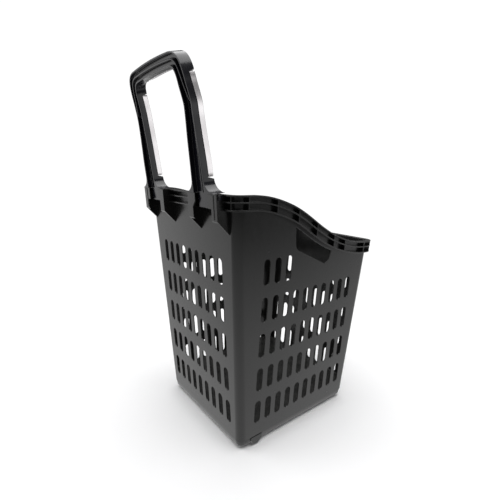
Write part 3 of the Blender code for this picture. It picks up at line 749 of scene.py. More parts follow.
@dataclass(frozen=True)
class Metal:
    """Bright metal or metal film, with fine streaks and smears. Its name is also the material's name."""

    name: str
    colour: Colour
    smeared: Colour
    roughness: tuple[float, float]
    stretch: tuple[float, float, float] = (900.0, 900.0, 12.0)
    # Colour on the edges: rubbed wear on steel, a dark painted shade outline on the bright trim.
    edge: Colour = (0.66, 0.66, 0.67)
    streak_depth: float = 0.00002
    streak_strength: float = 0.4
    wear: float = 0.4
    wear_width: float = 0.0008

    def material(self, effects: SurfaceEffects) -> bpy.types.Material:
        """Build the material.

        Args:
            effects: The shared shader groups.

        Returns:
            The material.
        """
        build, shader, material = start_material(self.name)
        brushed = build.add("ShaderNodeGroup", {"Stretch": self.stretch}, node_tree=effects.brushing).outputs
        values = {"Width": self.wear_width, "Amount": self.wear}
        worn = build.add("ShaderNodeGroup", values, node_tree=effects.wear).outputs["Mask"]
        colour = blend_colour(build, brushed["Smear"], self.colour, self.smeared)
        # Edge colour from the edge mask: rubbed wear on steel, a painted shade outline on the bright trim.
        colour = blend_colour(build, worn, colour, self.edge)
        halves = [build.math("MULTIPLY", brushed[name], 0.5) for name in ("Streak", "Smear")]
        gloss = build.remap(build.math("ADD", *halves), 0.0, 1.0, *self.roughness)
        values = {"Height": brushed["Streak"], "Strength": self.streak_strength, "Distance": self.streak_depth}
        bump = build.add("ShaderNodeBump", values)
        build.link(
            (colour, shader.inputs["Base Color"]),
            (gloss, shader.inputs["Roughness"]),
            (bump.outputs[0], shader.inputs["Normal"]),
        )
        shader.inputs["Metallic"].default_value = 1.0
        return material


BLACK_MOULDING = Plastic(
    name="black_moulding",
    colour=(0.0062, 0.0063, 0.0058),
    blotch=(0.0052, 0.0053, 0.0053),
    # Much lighter than the body: rubbed wear plus a painted highlight along its edges.
    worn=(0.080, 0.080, 0.076),
    dust=(0.07, 0.07, 0.067),
    roughness=(0.21, 0.25),
    wear_width=0.0006,
)
HANDLE_BLACK = Plastic(
    name="handle_black",
    colour=(0.0045, 0.0045, 0.0075),
    blotch=(0.0035, 0.0035, 0.0060),
    # Much lighter than the body: rubbed wear plus a painted highlight along the handle's edges.
    worn=(0.16, 0.15, 0.14),
    dust=(0.05, 0.05, 0.05),
    roughness=(0.15, 0.20),
    wear_width=0.0004,
    fineness=1500.0,
    grain_depth=0.00003,
    dust_amount=0.12,
)
TYRE_BLACK = Plastic(
    name="tyre_black",
    colour=(0.016, 0.016, 0.016),
    blotch=(0.024, 0.023, 0.022),
    worn=(0.055, 0.052, 0.048),
    dust=(0.14, 0.13, 0.12),
    roughness=(0.62, 0.80),
    fineness=1400.0,
    grain_depth=0.00010,
    wear=1.0,
    dust_amount=0.4,
    specular=0.3,
)
HUB_GREY = Plastic(
    name="hub_grey",
    colour=(0.30, 0.30, 0.31),
    blotch=(0.25, 0.25, 0.26),
    worn=(0.40, 0.40, 0.40),
    dust=(0.34, 0.33, 0.31),
    roughness=(0.42, 0.52),
    fineness=1200.0,
)
BRIGHT_TRIM = Metal(
    name="bright_trim",
    colour=(0.90, 0.88, 0.89),
    smeared=(0.84, 0.81, 0.82),
    # Painted shade: a dark grey outline along the strip's edges, laid on at full amount.
    edge=(0.26, 0.25, 0.26),
    roughness=(0.16, 0.26),
    wear=1.0,
)
ZINC_STEEL = Metal(
    name="zinc_steel",
    colour=(0.58, 0.58, 0.60),
    smeared=(0.46, 0.46, 0.47),
    roughness=(0.28, 0.42),
    stretch=(700.0, 700.0, 700.0),
)
FINISHES = (BLACK_MOULDING, HANDLE_BLACK, TYRE_BLACK, HUB_GREY, BRIGHT_TRIM, ZINC_STEEL)


class Workshop:
    """What every sub-assembly needs: the materials, the repeat trees and the frame."""

    def __init__(self, frame: dict[str, Any]) -> None:
        """Keep the frame and build every material."""
        self.frame = frame
        self.repeats = Repeats()
        effects = SurfaceEffects()
        self.materials = {finish.name: finish.material(effects) for finish in FINISHES}

    def deliver(self, obj: bpy.types.Object, finish: Plastic | Metal, body: str, nodes: Iterable[str]) -> None:
        """Dress a finished piece and place it on its body.

        Args:
            obj: The piece.
            finish: Its finish.
            body: The CAD body that it moves with.
            nodes: The CAD nodes that it stands for.
        """
        obj.data.materials.clear()
        obj.data.materials.append(self.materials[finish.name])
        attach(obj, body)
        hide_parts(*nodes)
        LOG.info("%s: %d faces on %s", obj.name, len(obj.data.polygons), body)

    def dress_node(self, name: str, finish: Plastic | Metal) -> None:
        """Give a CAD node that keeps its shape a finish of its own."""
        mesh = self.frame["nodes"][name].data
        mesh.materials.clear()
        mesh.materials.append(self.materials[finish.name])
        LOG.info("%s: kept, now %s", name, finish.name)


# ---------------------------------------------------------------- basket


@dataclass
class WallPlan:
    """Where the basket's drafted walls, round corners and curved rim are."""

    row_z: float = 0.429
    half_width_at_row: float = 0.186
    side_draft: float = 0.049
    rear_at_row: float = 0.1785
    rear_draft: float = 0.075
    front_at_row: float = -0.2545
    front_draft: float = 0.072
    corner: float = 0.018
    bottom: float = 0.024
    seam: float = 0.590
    rim_rounds: int = 14
    rim_knots: tuple[tuple[float, float, float], ...] = (
        (-0.267, 0.4650, 0.00),
        (-0.197, 0.4675, 0.12),
        (-0.111, 0.4890, 0.37),
        (-0.026, 0.5310, 0.585),
        (0.053, 0.5705, 0.35),
        (0.149, 0.5900, 0.00),
    )

    def half_width(self, z: float) -> float:
        """The side walls' distance from the middle at this height."""
        return self.half_width_at_row + self.side_draft * (z - self.row_z)

    def rear(self, z: float) -> float:
        """The rear wall's y at this height."""
        return self.rear_at_row + self.rear_draft * (z - self.row_z)

    def front(self, z: float) -> float:
        """The front wall's y at this height."""
        return self.front_at_row - self.front_draft * (z - self.row_z)

    def stations(self, arc_steps: int, side_steps: int) -> list[tuple]:
        """Places round the basket, anticlockwise from +X.

        Args:
            arc_steps: Chords in each corner.
            side_steps: Stretches along each side wall.

        Returns:
            Corner and side places, as wall_point takes them.
        """
        places: list[tuple] = []
        for quarter, (sx, sy) in enumerate(((1, 1), (-1, 1), (-1, -1), (1, -1))):
            for k in range(arc_steps + 1):
                places.append(("corner", sx, sy, math.pi / 2 * (quarter + k / arc_steps)))
            if quarter == 1:
                places += [("side", -1, 1 - k / side_steps) for k in range(1, side_steps)]
        places += [("side", 1, k / side_steps) for k in range(1, side_steps)]
        return places

    def wall_point(self, place: tuple, z: float, offset: float) -> Vector:
        """The wall's point at a place.

        Args:
            place: A place that stations gives.
            z: The height.
            offset: How far the point is moved out.

        Returns:
            The point.
        """
        low, high = self.front(z) + self.corner, self.rear(z) - self.corner
        if place[0] == "corner":
            _, sx, sy, angle = place
            middle = Vector((sx * (self.half_width(z) - self.corner), high if sy > 0 else low, z))
            return middle + (self.corner + offset) * Vector((math.cos(angle), math.sin(angle), 0))
        _, sx, share = place
        return Vector((sx * (self.half_width(z) + offset), low + (high - low) * share, z))

    def rim(self, y: float) -> tuple[float, float]:
        """The rim at a y: a cubic between each two knots.

        Args:
            y: The place along the side wall.

        Returns:
            The rim's height and slope.
        """
        if y <= self.rim_knots[0][0]:
            return self.rim_knots[0][1], 0.0
        for (y0, z0, slope0), (y1, z1, slope1) in zip(self.rim_knots, self.rim_knots[1:]):
            if y <= y1:
                span, rise = y1 - y0, z1 - z0
                t = (y - y0) / span
                a, b = slope0 * span - rise, rise - slope1 * span
                mixed = (1 - t) * a + t * b
                slope = (rise + (1 - 2 * t) * mixed + t * (1 - t) * (b - a)) / span
                return z0 + t * rise + t * (1 - t) * mixed, slope
        return self.rim_knots[-1][1], 0.0

    def below_rim(self, place: tuple, drop: float, offset: float) -> Vector:
        """The wall's point below the rim.

        Args:
            place: A place that stations gives.
            drop: How far below, measured square to the rim's curve.
            offset: How far the point is moved out.

        Returns:
            The point, found in a few rounds because the wall leans.
        """
        z = self.seam
        for _ in range(self.rim_rounds):
            height, slope = self.rim(self.wall_point(place, z, offset).y)
            z = height - drop * math.hypot(1, slope)
        return self.wall_point(place, z, offset)


SHORTEST_MITRE = 0.8  # so that a sharp corner doesn't grow into a spike
SWELL_ANGLE = math.radians(76)  # how far round a hole's edge goes before it meets the wall's face
SWELL_STEPS = 3


def grown(outline: Sequence[Vector], amount: float) -> list[Vector]:
    """A flat outline moved outwards along its own normals.

    Args:
        outline: The closed outline's points, in two dimensions.
        amount: How far it moves.

    Returns:
        The moved points.
    """
    count = len(outline)
    area = sum(outline[i - 1].x * outline[i].y - outline[i].x * outline[i - 1].y for i in range(count))
    sign = 1 if area > 0 else -1
    moved = []
    for i, point in enumerate(outline):
        before = (point - outline[i - 1]).normalized()
        after = (outline[(i + 1) % count] - point).normalized()
        normal = Vector((before.y + after.y, -before.x - after.x))
        length = max(normal.length, SHORTEST_MITRE)
        moved.append(point + sign * normal * (amount * 2 / length**2))
    return moved


def edge_rounding(wall: float, radius: float) -> list[tuple[float, float]]:
    """How a hole's cutter swells near both faces of a wall, so that the hole's edges come out round.

    Args:
        wall: The wall's thickness.
        radius: The edges' radius.

    Returns:
        Pairs of (distance out of the wall's outer face, swelling), from outside to inside.
    """
    angles = [SWELL_ANGLE * (1 - k / SWELL_STEPS) for k in range(SWELL_STEPS + 1)]
    quarter = [(radius * (math.sin(a) - 1), radius * (1 - math.cos(a))) for a in angles]
    outside = [(wall / 2, quarter[0][1]), *quarter]
    inside = [(-wall - depth, swell) for depth, swell in reversed(outside)]
    return outside + inside


@dataclass
class BasketTub:
    """The slotted basket: skirt, floor, drafted walls, three rails with ribs, and two handle sockets."""

    plan: WallPlan = field(default_factory=WallPlan)
    wall: float = 0.0022
    floor_under: float = 0.054
    floor_top: float = 0.057
    rail_drops: tuple[float, float] = (0.0305, 0.0153)
    rail: float = 0.003
    overhang: float = 0.011
    rib: float = 0.0026
    rail_edge: float = 0.0008
    rib_set_back: float = 0.0008
    lip: float = 0.0007
    floor_cove: tuple[tuple[float, float], ...] = ((0.0030, 0.0), (0.0009, 0.0009), (0.0, 0.0030))
    side_ribs: tuple[float, ...] = (0.165, 0.092, 0.029, -0.033, -0.097, -0.140, -0.220)
    front_ribs: tuple[float, ...] = (-0.126, -0.063, 0.0, 0.063, 0.126)
    corner_rib_angles: tuple[float, float] = (62.0, 35.0)
    slot_width: float = 0.017
    slot_length: float = 0.058
    slot_edge: float = 0.0006
    slot_steps: int = 8
    row_pitch: float = 0.085
    column_pitch: float = 0.0316
    rows: int = 5
    columns: int = 9
    side_columns: int = 10
    side_top_columns: int = 3
    side_first_y: float = 0.1005
    hold_drop: float = 0.036
    hold_span: tuple[float, float] = (-0.103, 0.0255)
    hold_rear: tuple[float, float, float] = (0.019, 0.4690, 0.020)
    hold_front: tuple[float, float, float] = (-0.090, 0.4190, 0.014)
    hold_edge: float = 0.0009
    hold_steps: tuple[int, int] = (24, 10)
    socket_x: tuple[float, float] = (0.060, 0.170)
    socket_depth: float = 0.026
    socket_tip: float = 0.539
    socket_root: float = 0.510
    fin: float = 0.004
    plate: float = 0.003
    mouth_x: tuple[float, float] = (0.080, 0.150)
    mouth_top: float = 0.562
    mouth_slant: float = 0.012
    socket_edge: float = 0.0005
    leg_x: tuple[float, float] = (0.0905, 0.1388)
    strip_x: tuple[float, float] = (0.1525, 0.1605)
    strip_z: tuple[float, float] = (0.5420, 0.5880)
    strip_proud: float = 0.0010

    def build(self, shop: Workshop) -> None:
        """Make the basket and place it on the trolley."""
        tub = slab("basket_moulding", self.shell_rings())
        boolean(tub, "UNION", self.ribs(shop))
        for side in Side:
            boolean(tub, "UNION", self.socket(side))
        boolean(tub, "DIFFERENCE", self.slots(shop))
        for side in Side:
            boolean(tub, "DIFFERENCE", self.hand_hold(side))
        even_shading(tub)
        shop.deliver(tub, BLACK_MOULDING, "trolley", ["basket_tub"])

    def rail_profile(self, drop: float) -> list[tuple[float, float]]:
        """A rail's (drop, offset) points, from its lower face round to its upper face.

        Args:
            drop: How far the rail's lower face is below the rim.

        Returns:
            The points, without those on the wall itself.
        """
        r = self.rail_edge
        quarter = [(r * (1 - math.cos(a)), r * (1 - math.sin(a))) for a in ROUND_ANGLES]
        lower = [(drop - up, self.overhang - out) for up, out in quarter]
        upper = [(drop - self.rail + up, self.overhang - out) for up, out in reversed(quarter)]
        return lower + upper

    def shell_rings(self) -> list[Ring]:
        """The rings of the skin: under the floor, down the skirt, up the wall and rails, and down inside."""
        plan, wall, lip = self.plan, self.wall, self.lip
        places = plan.stations(arc_steps=12, side_steps=48)
        skirt = [(self.floor_under, -wall), (plan.bottom, -wall), (plan.bottom, -lip), (plan.bottom + lip, 0.0)]
        rails = []
        for drop in self.rail_drops:
            rails += [(drop, 0.0), *self.rail_profile(drop), (drop - self.rail, 0.0)]
        rails += [(self.rail, 0.0), *self.rail_profile(self.rail), (0.0, -wall + lip), (lip, -wall)]
        cove = [(self.floor_top + up, -wall - inward) for up, inward in self.floor_cove]
        rings = [[plan.wall_point(p, z, offset) for p in places] for z, offset in skirt]
        rings += [[plan.below_rim(p, drop, offset) for p in places] for drop, offset in rails]
        rings += [[plan.wall_point(p, z, offset) for p in places] for z, offset in cove]
        return rings

    def rib_feet(self) -> list[tuple[Callable[[float], Vector], Vector, float]]:
        """Each rib's foot point at a given height, the way it faces and its wall's draft."""
        plan, feet = self.plan, []
        for side in Side:
            out = Vector((side.value, 0, 0))
            for y in self.side_ribs:
                feet.append(
                    (lambda z, y=y, s=side.value: Vector((s * plan.half_width(z), y, z)), out, plan.side_draft)
                )
            for sy, angle in zip((1, -1), self.corner_rib_angles):
                turn = math.radians(angle)
                out = Vector((side.value * math.cos(turn), sy * math.sin(turn), 0))
                place = ("corner", side.value, sy, math.atan2(out.y, out.x))
                feet.append((lambda z, p=place: plan.wall_point(p, z, 0.0), out, plan.rear_draft))
        for x in self.front_ribs:
            feet.append((lambda z, x=x: Vector((x, plan.front(z), z)), Vector((0, -1, 0)), plan.front_draft))
        return feet

    def ribs(self, shop: Workshop) -> bpy.types.Object:
        """The upright ribs between the lowest rail and the rim.

        Args:
            shop: The workshop.

        Returns:
            All of them as one object.
        """
        points, rises, turns = [], [], []
        for foot, out, draft in self.rib_feet():
            height, slope = self.plan.rim(foot(self.plan.seam).y)
            low = height - (self.rail_drops[0] - self.rail / 2) * math.hypot(1, slope)
            points.append(foot(low) + out * (self.overhang - self.rib_set_back - self.wall / 2) / 2)
            rises.append(height - self.rail / 2 - low)
            turns += [0.0, math.atan(draft), math.atan2(out.y, out.x)]
        obj = points_object("rib_places", points)
        obj.data.attributes.new("rise", "FLOAT", "POINT").data.foreach_set("value", rises)
        obj.data.attributes.new("turn", "FLOAT_VECTOR", "POINT").data.foreach_set("vector", turns)
        values = {"Thickness": self.rib, "Reach": self.overhang - self.rib_set_back + self.wall / 2}
        values["Material"] = shop.materials[BLACK_MOULDING.name]
        run_tree(obj, shop.repeats.upright_ribs, values)
        return made_plain(obj)

    def socket(self, side: Side) -> bpy.types.Object:
        """One handle socket: two fins and a plate round a pocket, with rounded edges.

        Args:
            side: The side that it is on.

        Returns:
            The socket, not yet joined to the basket.
        """
        plan, sx = self.plan, side.value
        top = plan.seam - GAP
        outline = [
            (plan.rear(self.socket_root) - self.wall / 2, self.socket_root),
            (plan.rear(self.socket_tip) + self.socket_depth, self.socket_tip),
            (plan.rear(top) + self.socket_depth, top),
            (plan.rear(top) - self.wall / 2, top),
        ]
        rings = [[Vector((sx * x, y, z)) for y, z in outline] for x in self.socket_x]
        socket = slab(f"socket_{side.label}", rings)
        inner, outer = self.socket_x
        low, high = self.socket_root - OVERRUN, plan.seam + OVERRUN
        pocket = self.behind_plate(
            "socket_pocket",
            (sx * (inner + self.fin), sx * (outer - self.fin)),
            (low, high),
            (-self.wall, self.socket_depth - self.plate),
        )
        boolean(socket, "DIFFERENCE", pocket)
        boolean(socket, "DIFFERENCE", self.socket_mouth(sx, low, high))
        depths = (self.socket_depth - self.plate / 2, self.socket_depth + self.strip_proud)
        strip = self.behind_plate("socket_strip", tuple(sx * x for x in self.strip_x), self.strip_z, depths)
        boolean(socket, "UNION", strip)
        rounded(socket, self.socket_edge)
        boolean(socket, "DIFFERENCE", self.latch_notch(side))
        return socket

    def behind_plate(
        self, name: str, across: Sequence[float], heights: Sequence[float], depths: Sequence[float]
    ) -> bpy.types.Object:
        """A block that leans as the rear wall does.

        Args:
            name: Its name.
            across: Its two x.
            heights: Its lower and upper z.
            depths: How far its near and far face stand behind the wall's outer face.

        Returns:
            The block.
        """
        a, b = across
        rings = []
        for z in heights:
            near, far = (self.plan.rear(z) + depth for depth in depths)
            rings.append([Vector(point) for point in ((a, near, z), (b, near, z), (b, far, z), (a, far, z))])
        return slab(name, rings)

    def socket_mouth(self, sx: int, low: float, high: float) -> bpy.types.Object:
        """The cutter for the opening in a socket's plate: as wide as the leg above, wider below.

        Args:
            sx: The sign of its x.
            low: Its lower end.
            high: Its upper end.

        Returns:
            The cutter.
        """
        outline = [
            (self.mouth_x[0], low),
            (self.mouth_x[1], low),
            (self.mouth_x[1], self.mouth_top),
            (self.leg_x[1], self.mouth_top),
            (self.leg_x[1], high),
            (self.leg_x[0], high),
            (self.leg_x[0], self.mouth_top + self.mouth_slant),
            (self.mouth_x[0], self.mouth_top),
        ]
        shifts = (self.socket_depth - self.plate - 0.004, self.socket_depth + OVERRUN)
        rings = [[Vector((sx * x, self.plan.rear(z) + shift, z)) for x, z in outline] for shift in shifts]
        return slab("socket_mouth", rings)

    def latch_notch(self, side: Side) -> bpy.types.Object:
        """The cutter for the notch that a latch sits in."""
        low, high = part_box(f"handle_latch_{side.label}")
        room = Vector((GAP, GAP, GAP))
        bm = bmesh.new()
        block(bm, low - room, high + 4 * room)
        return mesh_object("latch_notch", bm)

    def slot_tool(self) -> bpy.types.Object:
        """One slot's cutter: a stadium that swells near both faces of the wall."""
        radius = self.slot_width / 2
        rise = self.slot_length / 2 - radius
        outline = arc(Vector((0, rise)), radius, 0, 180, self.slot_steps)
        outline += arc(Vector((0, -rise)), radius, 180, 360, self.slot_steps)
        swells = edge_rounding(self.wall, self.slot_edge)
        rings = [[Vector((p.x, p.y, depth)) for p in grown(outline, swell)] for depth, swell in swells]
        return slab("slot_tool", rings)

    def slots(self, shop: Workshop) -> bpy.types.Object:
        """Every slot's cutter.

        Args:
            shop: The workshop.

        Returns:
            All of them as one object, made by the slot field tree.
        """
        plan, tool = self.plan, self.slot_tool()
        obj = points_object("slot_cutters", [])
        shared = {"Tool": tool, "Material": shop.materials[BLACK_MOULDING.name]}
        first_x = -(self.columns - 1) / 2 * self.column_pitch
        for row, rows, sign in ((0, self.rows, 1), (1, self.rows - 1, -1)):
            z = plan.row_z - row * self.row_pitch
            draft = plan.rear_draft if sign > 0 else plan.front_draft
            y = plan.rear(z) if sign > 0 else plan.front(z)
            values = {"Columns": self.columns, "Rows": rows, "First": (first_x, y, z)}
            values["Column Step"] = (self.column_pitch, 0.0, 0.0)
            values["Row Step"] = (0.0, -sign * draft * self.row_pitch, -self.row_pitch)
            values["Turn"] = self.facing(Vector((0, sign, -draft)))
            run_tree(obj, shop.repeats.slot_field, shared | values)
        for side in Side:
            sx = side.value
            for row, rows, columns in ((0, 1, self.side_top_columns), (1, self.rows - 1, self.side_columns)):
                z = plan.row_z - row * self.row_pitch
                values = {"Columns": columns, "Rows": rows}
                values["First"] = (sx * plan.half_width(z), self.side_first_y, z)
                values["Column Step"] = (0.0, -self.column_pitch, 0.0)
                values["Row Step"] = (-sx * plan.side_draft * self.row_pitch, 0.0, -self.row_pitch)
                values["Turn"] = self.facing(Vector((sx, 0, -plan.side_draft)))
                run_tree(obj, shop.repeats.slot_field, shared | values)
        made_plain(obj)
        bpy.data.objects.remove(tool, do_unlink=True)
        return obj

    @staticmethod
    def facing(normal: Vector) -> tuple[float, float, float]:
        """The turn that points a slot's cutter out of a wall and keeps it upright."""
        out = normal.normalized()
        up = (Vector((0, 0, 1)) - out * out.z).normalized()
        turn = Matrix((up.cross(out), up, out)).transposed().to_euler()
        return tuple(turn)

    def hand_hold(self, side: Side) -> bpy.types.Object:
        """A hand-hold's cutter: its top follows the lowest rail and its lower corners are round.

        Args:
            side: The side that it is on.

        Returns:
            The cutter.
        """
        plan, outline = self.plan, []
        front, rear = self.hold_span
        top_steps, corner_steps = self.hold_steps
        for k in range(top_steps + 1):
            y = front + (rear - front) * k / top_steps
            height, slope = plan.rim(y)
            outline.append(Vector((y, height - self.hold_drop * math.hypot(1, slope))))
        low_rear, low_front = Vector(self.hold_rear[:2]), Vector(self.hold_front[:2])
        first, last = outline[0], outline[-1]
        outline += fillet(last, low_rear, low_front, self.hold_rear[2], corner_steps)
        outline += fillet(low_rear, low_front, first, self.hold_front[2], corner_steps)
        rings = []
        for depth, swell in edge_rounding(self.wall, self.hold_edge):
            ring = grown(outline, swell)
            rings.append([Vector((side.value * (plan.half_width(p.y) + depth), p.x, p.y)) for p in ring])
        return slab(f"hand_hold_{side.label}", rings)


# ---------------------------------------------------------------- handle


ROUND_THIRD = 0.3  # how far in the middle point of a small rounding lies, as a share of its radius


@dataclass
class Station:
    """One cross-section of the handle: its edges in (x, z), its flanges and what it carries in front."""

    inner: Vector
    outer: Vector
    flange_in: float
    flange_out: float
    trimmed: bool = False
    set_back: float = 0.0


@dataclass
class HandleBow:
    """The hoop handle: two channelled legs and a crossbar, with bright strips along the front."""

    plan: WallPlan = field(default_factory=WallPlan)
    leg: tuple[tuple[tuple[float, float], tuple[float, float]], ...] = (
        ((0.0915, 0.6150), (0.1378, 0.6150)),
        ((0.0936, 0.6490), (0.1368, 0.6490)),
        ((0.0954, 0.6890), (0.1332, 0.6890)),
        ((0.0985, 0.7290), (0.1302, 0.7290)),
        ((0.0990, 0.7510), (0.1300, 0.7510)),
        ((0.0962, 0.7820), (0.1262, 0.7820)),
    )
    inner_corner: tuple[tuple[float, float], ...] = (
        (0.0962, 0.7820),
        (0.0965, 0.8060),
        (0.0915, 0.8128),
        (0.0720, 0.8140),
    )
    outer_corner: tuple[tuple[float, float], ...] = (
        (0.1262, 0.7820),
        (0.1240, 0.8220),
        (0.1150, 0.8355),
        (0.0800, 0.8370),
    )
    arch: tuple[float, float] = (0.8160, 0.8395)
    kink_z: float = 0.751
    kink_y: float = 0.2430
    kink_softness: float = 0.006
    leg_lean: float = 0.138
    top_lean: float = 0.28
    depth: float = 0.025
    grip_extra: float = 0.009
    grip_end: float = 0.086
    grip_ease: float = 0.036
    trim_depth: float = 0.0125
    flange: float = 0.0032
    channel: float = 0.0095
    channel_cove: float = 0.0008
    channel_draft: float = 0.0003
    rib: float = 0.0028
    rib_share: tuple[float, float] = (0.92, 0.50)
    rib_shift: float = 0.050
    rib_clear: tuple[float, float] = (0.0006, 0.0004)
    ridge_height: float = 0.0030
    ridge_share: float = 0.62
    ridge_half: tuple[float, float] = (0.0010, 0.0007)
    hair: float = 0.00005
    tongue_length: float = 0.030
    tongue_set_back: float = 0.010
    tongue_slim: float = 0.0012
    socket_x: tuple[float, float] = (0.0605, 0.1705)
    strip_top: float = 0.797
    strip_edge: float = 0.0026
    strip_end: float = 0.0006
    strip_crown: float = 0.0004
    edge: float = 0.0007
    front_edge: float = 0.0020
    latch_edge: float = 0.0005
    foot_steps: int = 12
    station_pitch: float = 0.004
    corner_steps: int = 28
    bar_steps: int = 12

    def build(self, shop: Workshop) -> None:
        """Make the bow, its three strips and its latches, and place them on the trolley."""
        half = self.half_path()
        path = half + half[-2::-1]
        signs = [-1] * len(half) + [1] * (len(half) - 1)
        rings = [self.ring(station, self.body_profile(station), sign) for station, sign in zip(path, signs)]
        bow = slab("handle_bow", rings)
        even_shading(bow)
        shop.deliver(bow, HANDLE_BLACK, "trolley", ["handle_hoop"])
        names = (
            ("strip_right", "handle_trim_right"),
            ("strip_grip", "handle_grip_trim"),
            ("strip_left", "handle_trim_left"),
        )
        for (name, node), (first, last) in zip(names, self.strip_runs(path)):
            strip = self.strip(name, path[first : last + 1], signs[first : last + 1])
            shop.deliver(strip, BRIGHT_TRIM, "trolley", [node])
        for side in Side:
            latch = refined_copy(shop, f"handle_latch_{side.label}", f"latch_{side.label}", self.latch_edge)
            shop.deliver(latch, HANDLE_BLACK, "trolley", [f"handle_latch_{side.label}"])

    def half_path(self) -> list[Station]:
        """Stations of one half, from the tip of the tongue to the middle of the crossbar."""
        return self.foot_stations() + self.leg_stations() + self.corner_stations()

    def foot_stations(self) -> list[Station]:
        """The tongue in the socket, then the flared foot, from below."""
        (inner, z), (outer, _) = self.leg[0]
        slim, base = self.tongue_slim, self.plan.seam + GAP
        thin = self.flange - slim
        stations = []
        for height in (base - self.tongue_length, base - self.hair):
            edges = Vector((inner + slim, height)), Vector((outer - slim, height))
            stations.append(Station(*edges, thin, thin, False, self.tongue_set_back))
        for k in range(self.foot_steps + 1):
            angle = math.pi / 2 * (1 - k / self.foot_steps)
            share = 1 - math.cos(angle)
            low_in = inner + (self.socket_x[0] - inner) * share
            low_out = outer + (self.socket_x[1] - outer) * share
            height = max(z - (z - base) * math.sin(angle), base)
            flanges = self.flange + inner - low_in, self.flange + low_out - outer
            stations.append(Station(Vector((low_in, height)), Vector((low_out, height)), *flanges))
        return stations

    def leg_stations(self) -> list[Station]:
        """The leg, smooth through its knots. The strip starts just above the foot."""
        knots = [(Vector(inner), Vector(outer)) for inner, outer in self.leg]
        ends = [knots[0], *knots, knots[-1]]
        stations = []
        for a, b, c, d in zip(ends, ends[1:], ends[2:], ends[3:]):
            steps = max(2, round((c[0].y - b[0].y) / self.station_pitch))
            for k in range(1, steps + 1):
                t = k / steps
                inner, outer = (self.through(a[i], b[i], c[i], d[i], t) for i in (0, 1))
                stations.append(Station(inner, outer, self.flange, self.flange, True))
        return stations

    @staticmethod
    def through(a: Vector, b: Vector, c: Vector, d: Vector, t: float) -> Vector:
        """A point between b and c on a smooth curve through all four.

        Args:
            a: The point before b, or b again where the curve starts.
            b: The stretch's first point.
            c: Its last point.
            d: The point after c, or c again where the curve ends.
            t: The share of the stretch, from 0 to 1.

        Returns:
            The point.
        """
        slope_b = c - b if a == b else (c - a) / 2
        slope_c = c - b if c == d else (d - b) / 2
        t2, t3 = t * t, t * t * t
        start, end = b * (2 * t3 - 3 * t2 + 1), c * (3 * t2 - 2 * t3)
        return start + slope_b * (t3 - 2 * t2 + t) + end + slope_c * (t3 - t2)

    def corner_stations(self) -> list[Station]:
        """The corner and half of the crossbar, up to its middle."""
        stations = []
        for k in range(1, self.corner_steps + 1):
            share = k / self.corner_steps
            inner, outer = (self.bezier(points, share) for points in (self.inner_corner, self.outer_corner))
            trimmed = (inner.y + outer.y) / 2 <= self.strip_top
            stations.append(Station(inner, outer, self.flange, self.flange, trimmed))
        last = stations[-1]
        for k in range(1, self.bar_steps + 1):
            t = k / self.bar_steps
            share = 1 - (1 - t) ** 2
            inner, outer = (
                Vector((point.x * (1 - t), point.y + (arch - point.y) * share))
                for point, arch in zip((last.inner, last.outer), self.arch)
            )
            stations.append(Station(inner, outer, self.flange, self.flange, True))
        return stations

    @staticmethod
    def bezier(points: Sequence[tuple[float, float]], t: float) -> Vector:
        """A point of a cubic."""
        a, b, c, d = (Vector(p) for p in points)
        return a * (1 - t) ** 3 + b * 3 * t * (1 - t) ** 2 + c * 3 * t * t * (1 - t) + d * t**3

    def full_depth(self, station: Station) -> float:
        """How deep the bow is at a station: it swells from the corners to the crossbar's middle."""
        middle = abs(station.inner.x + station.outer.x) / 2
        share = min(max((self.grip_end - middle) / self.grip_ease, 0.0), 1.0)
        return self.depth + self.grip_extra * share * share * (3 - 2 * share)

    def back(self, z: float) -> tuple[float, float]:
        """The rear face's y at this height, and how much it leans there."""
        t, soft, more = z - self.kink_z, self.kink_softness, self.top_lean - self.leg_lean
        root = math.hypot(t, soft)
        y = self.kink_y + self.leg_lean * t + more * (t + root - soft) / 2
        return y, self.leg_lean + more * (1 + t / root) / 2

    def ring(self, station: Station, profile: Sequence[tuple[float, float]], x_sign: int) -> Ring:
        """A profile of (distance from the inner edge, depth) placed at a station.

        Args:
            station: The cross-section's place.
            profile: The points.
            x_sign: 1 on the left leg, -1 on the right one.

        Returns:
            The points in space.
        """
        width = (station.outer - station.inner).length
        _, lean = self.back((station.inner.y + station.outer.y) / 2)
        points = []
        for across, depth in profile:
            flat = station.inner.lerp(station.outer, across / width)
            reach = depth / math.hypot(1, lean)
            points.append(Vector((x_sign * flat.x, self.back(flat.y)[0] - reach, flat.y + lean * reach)))
        return points

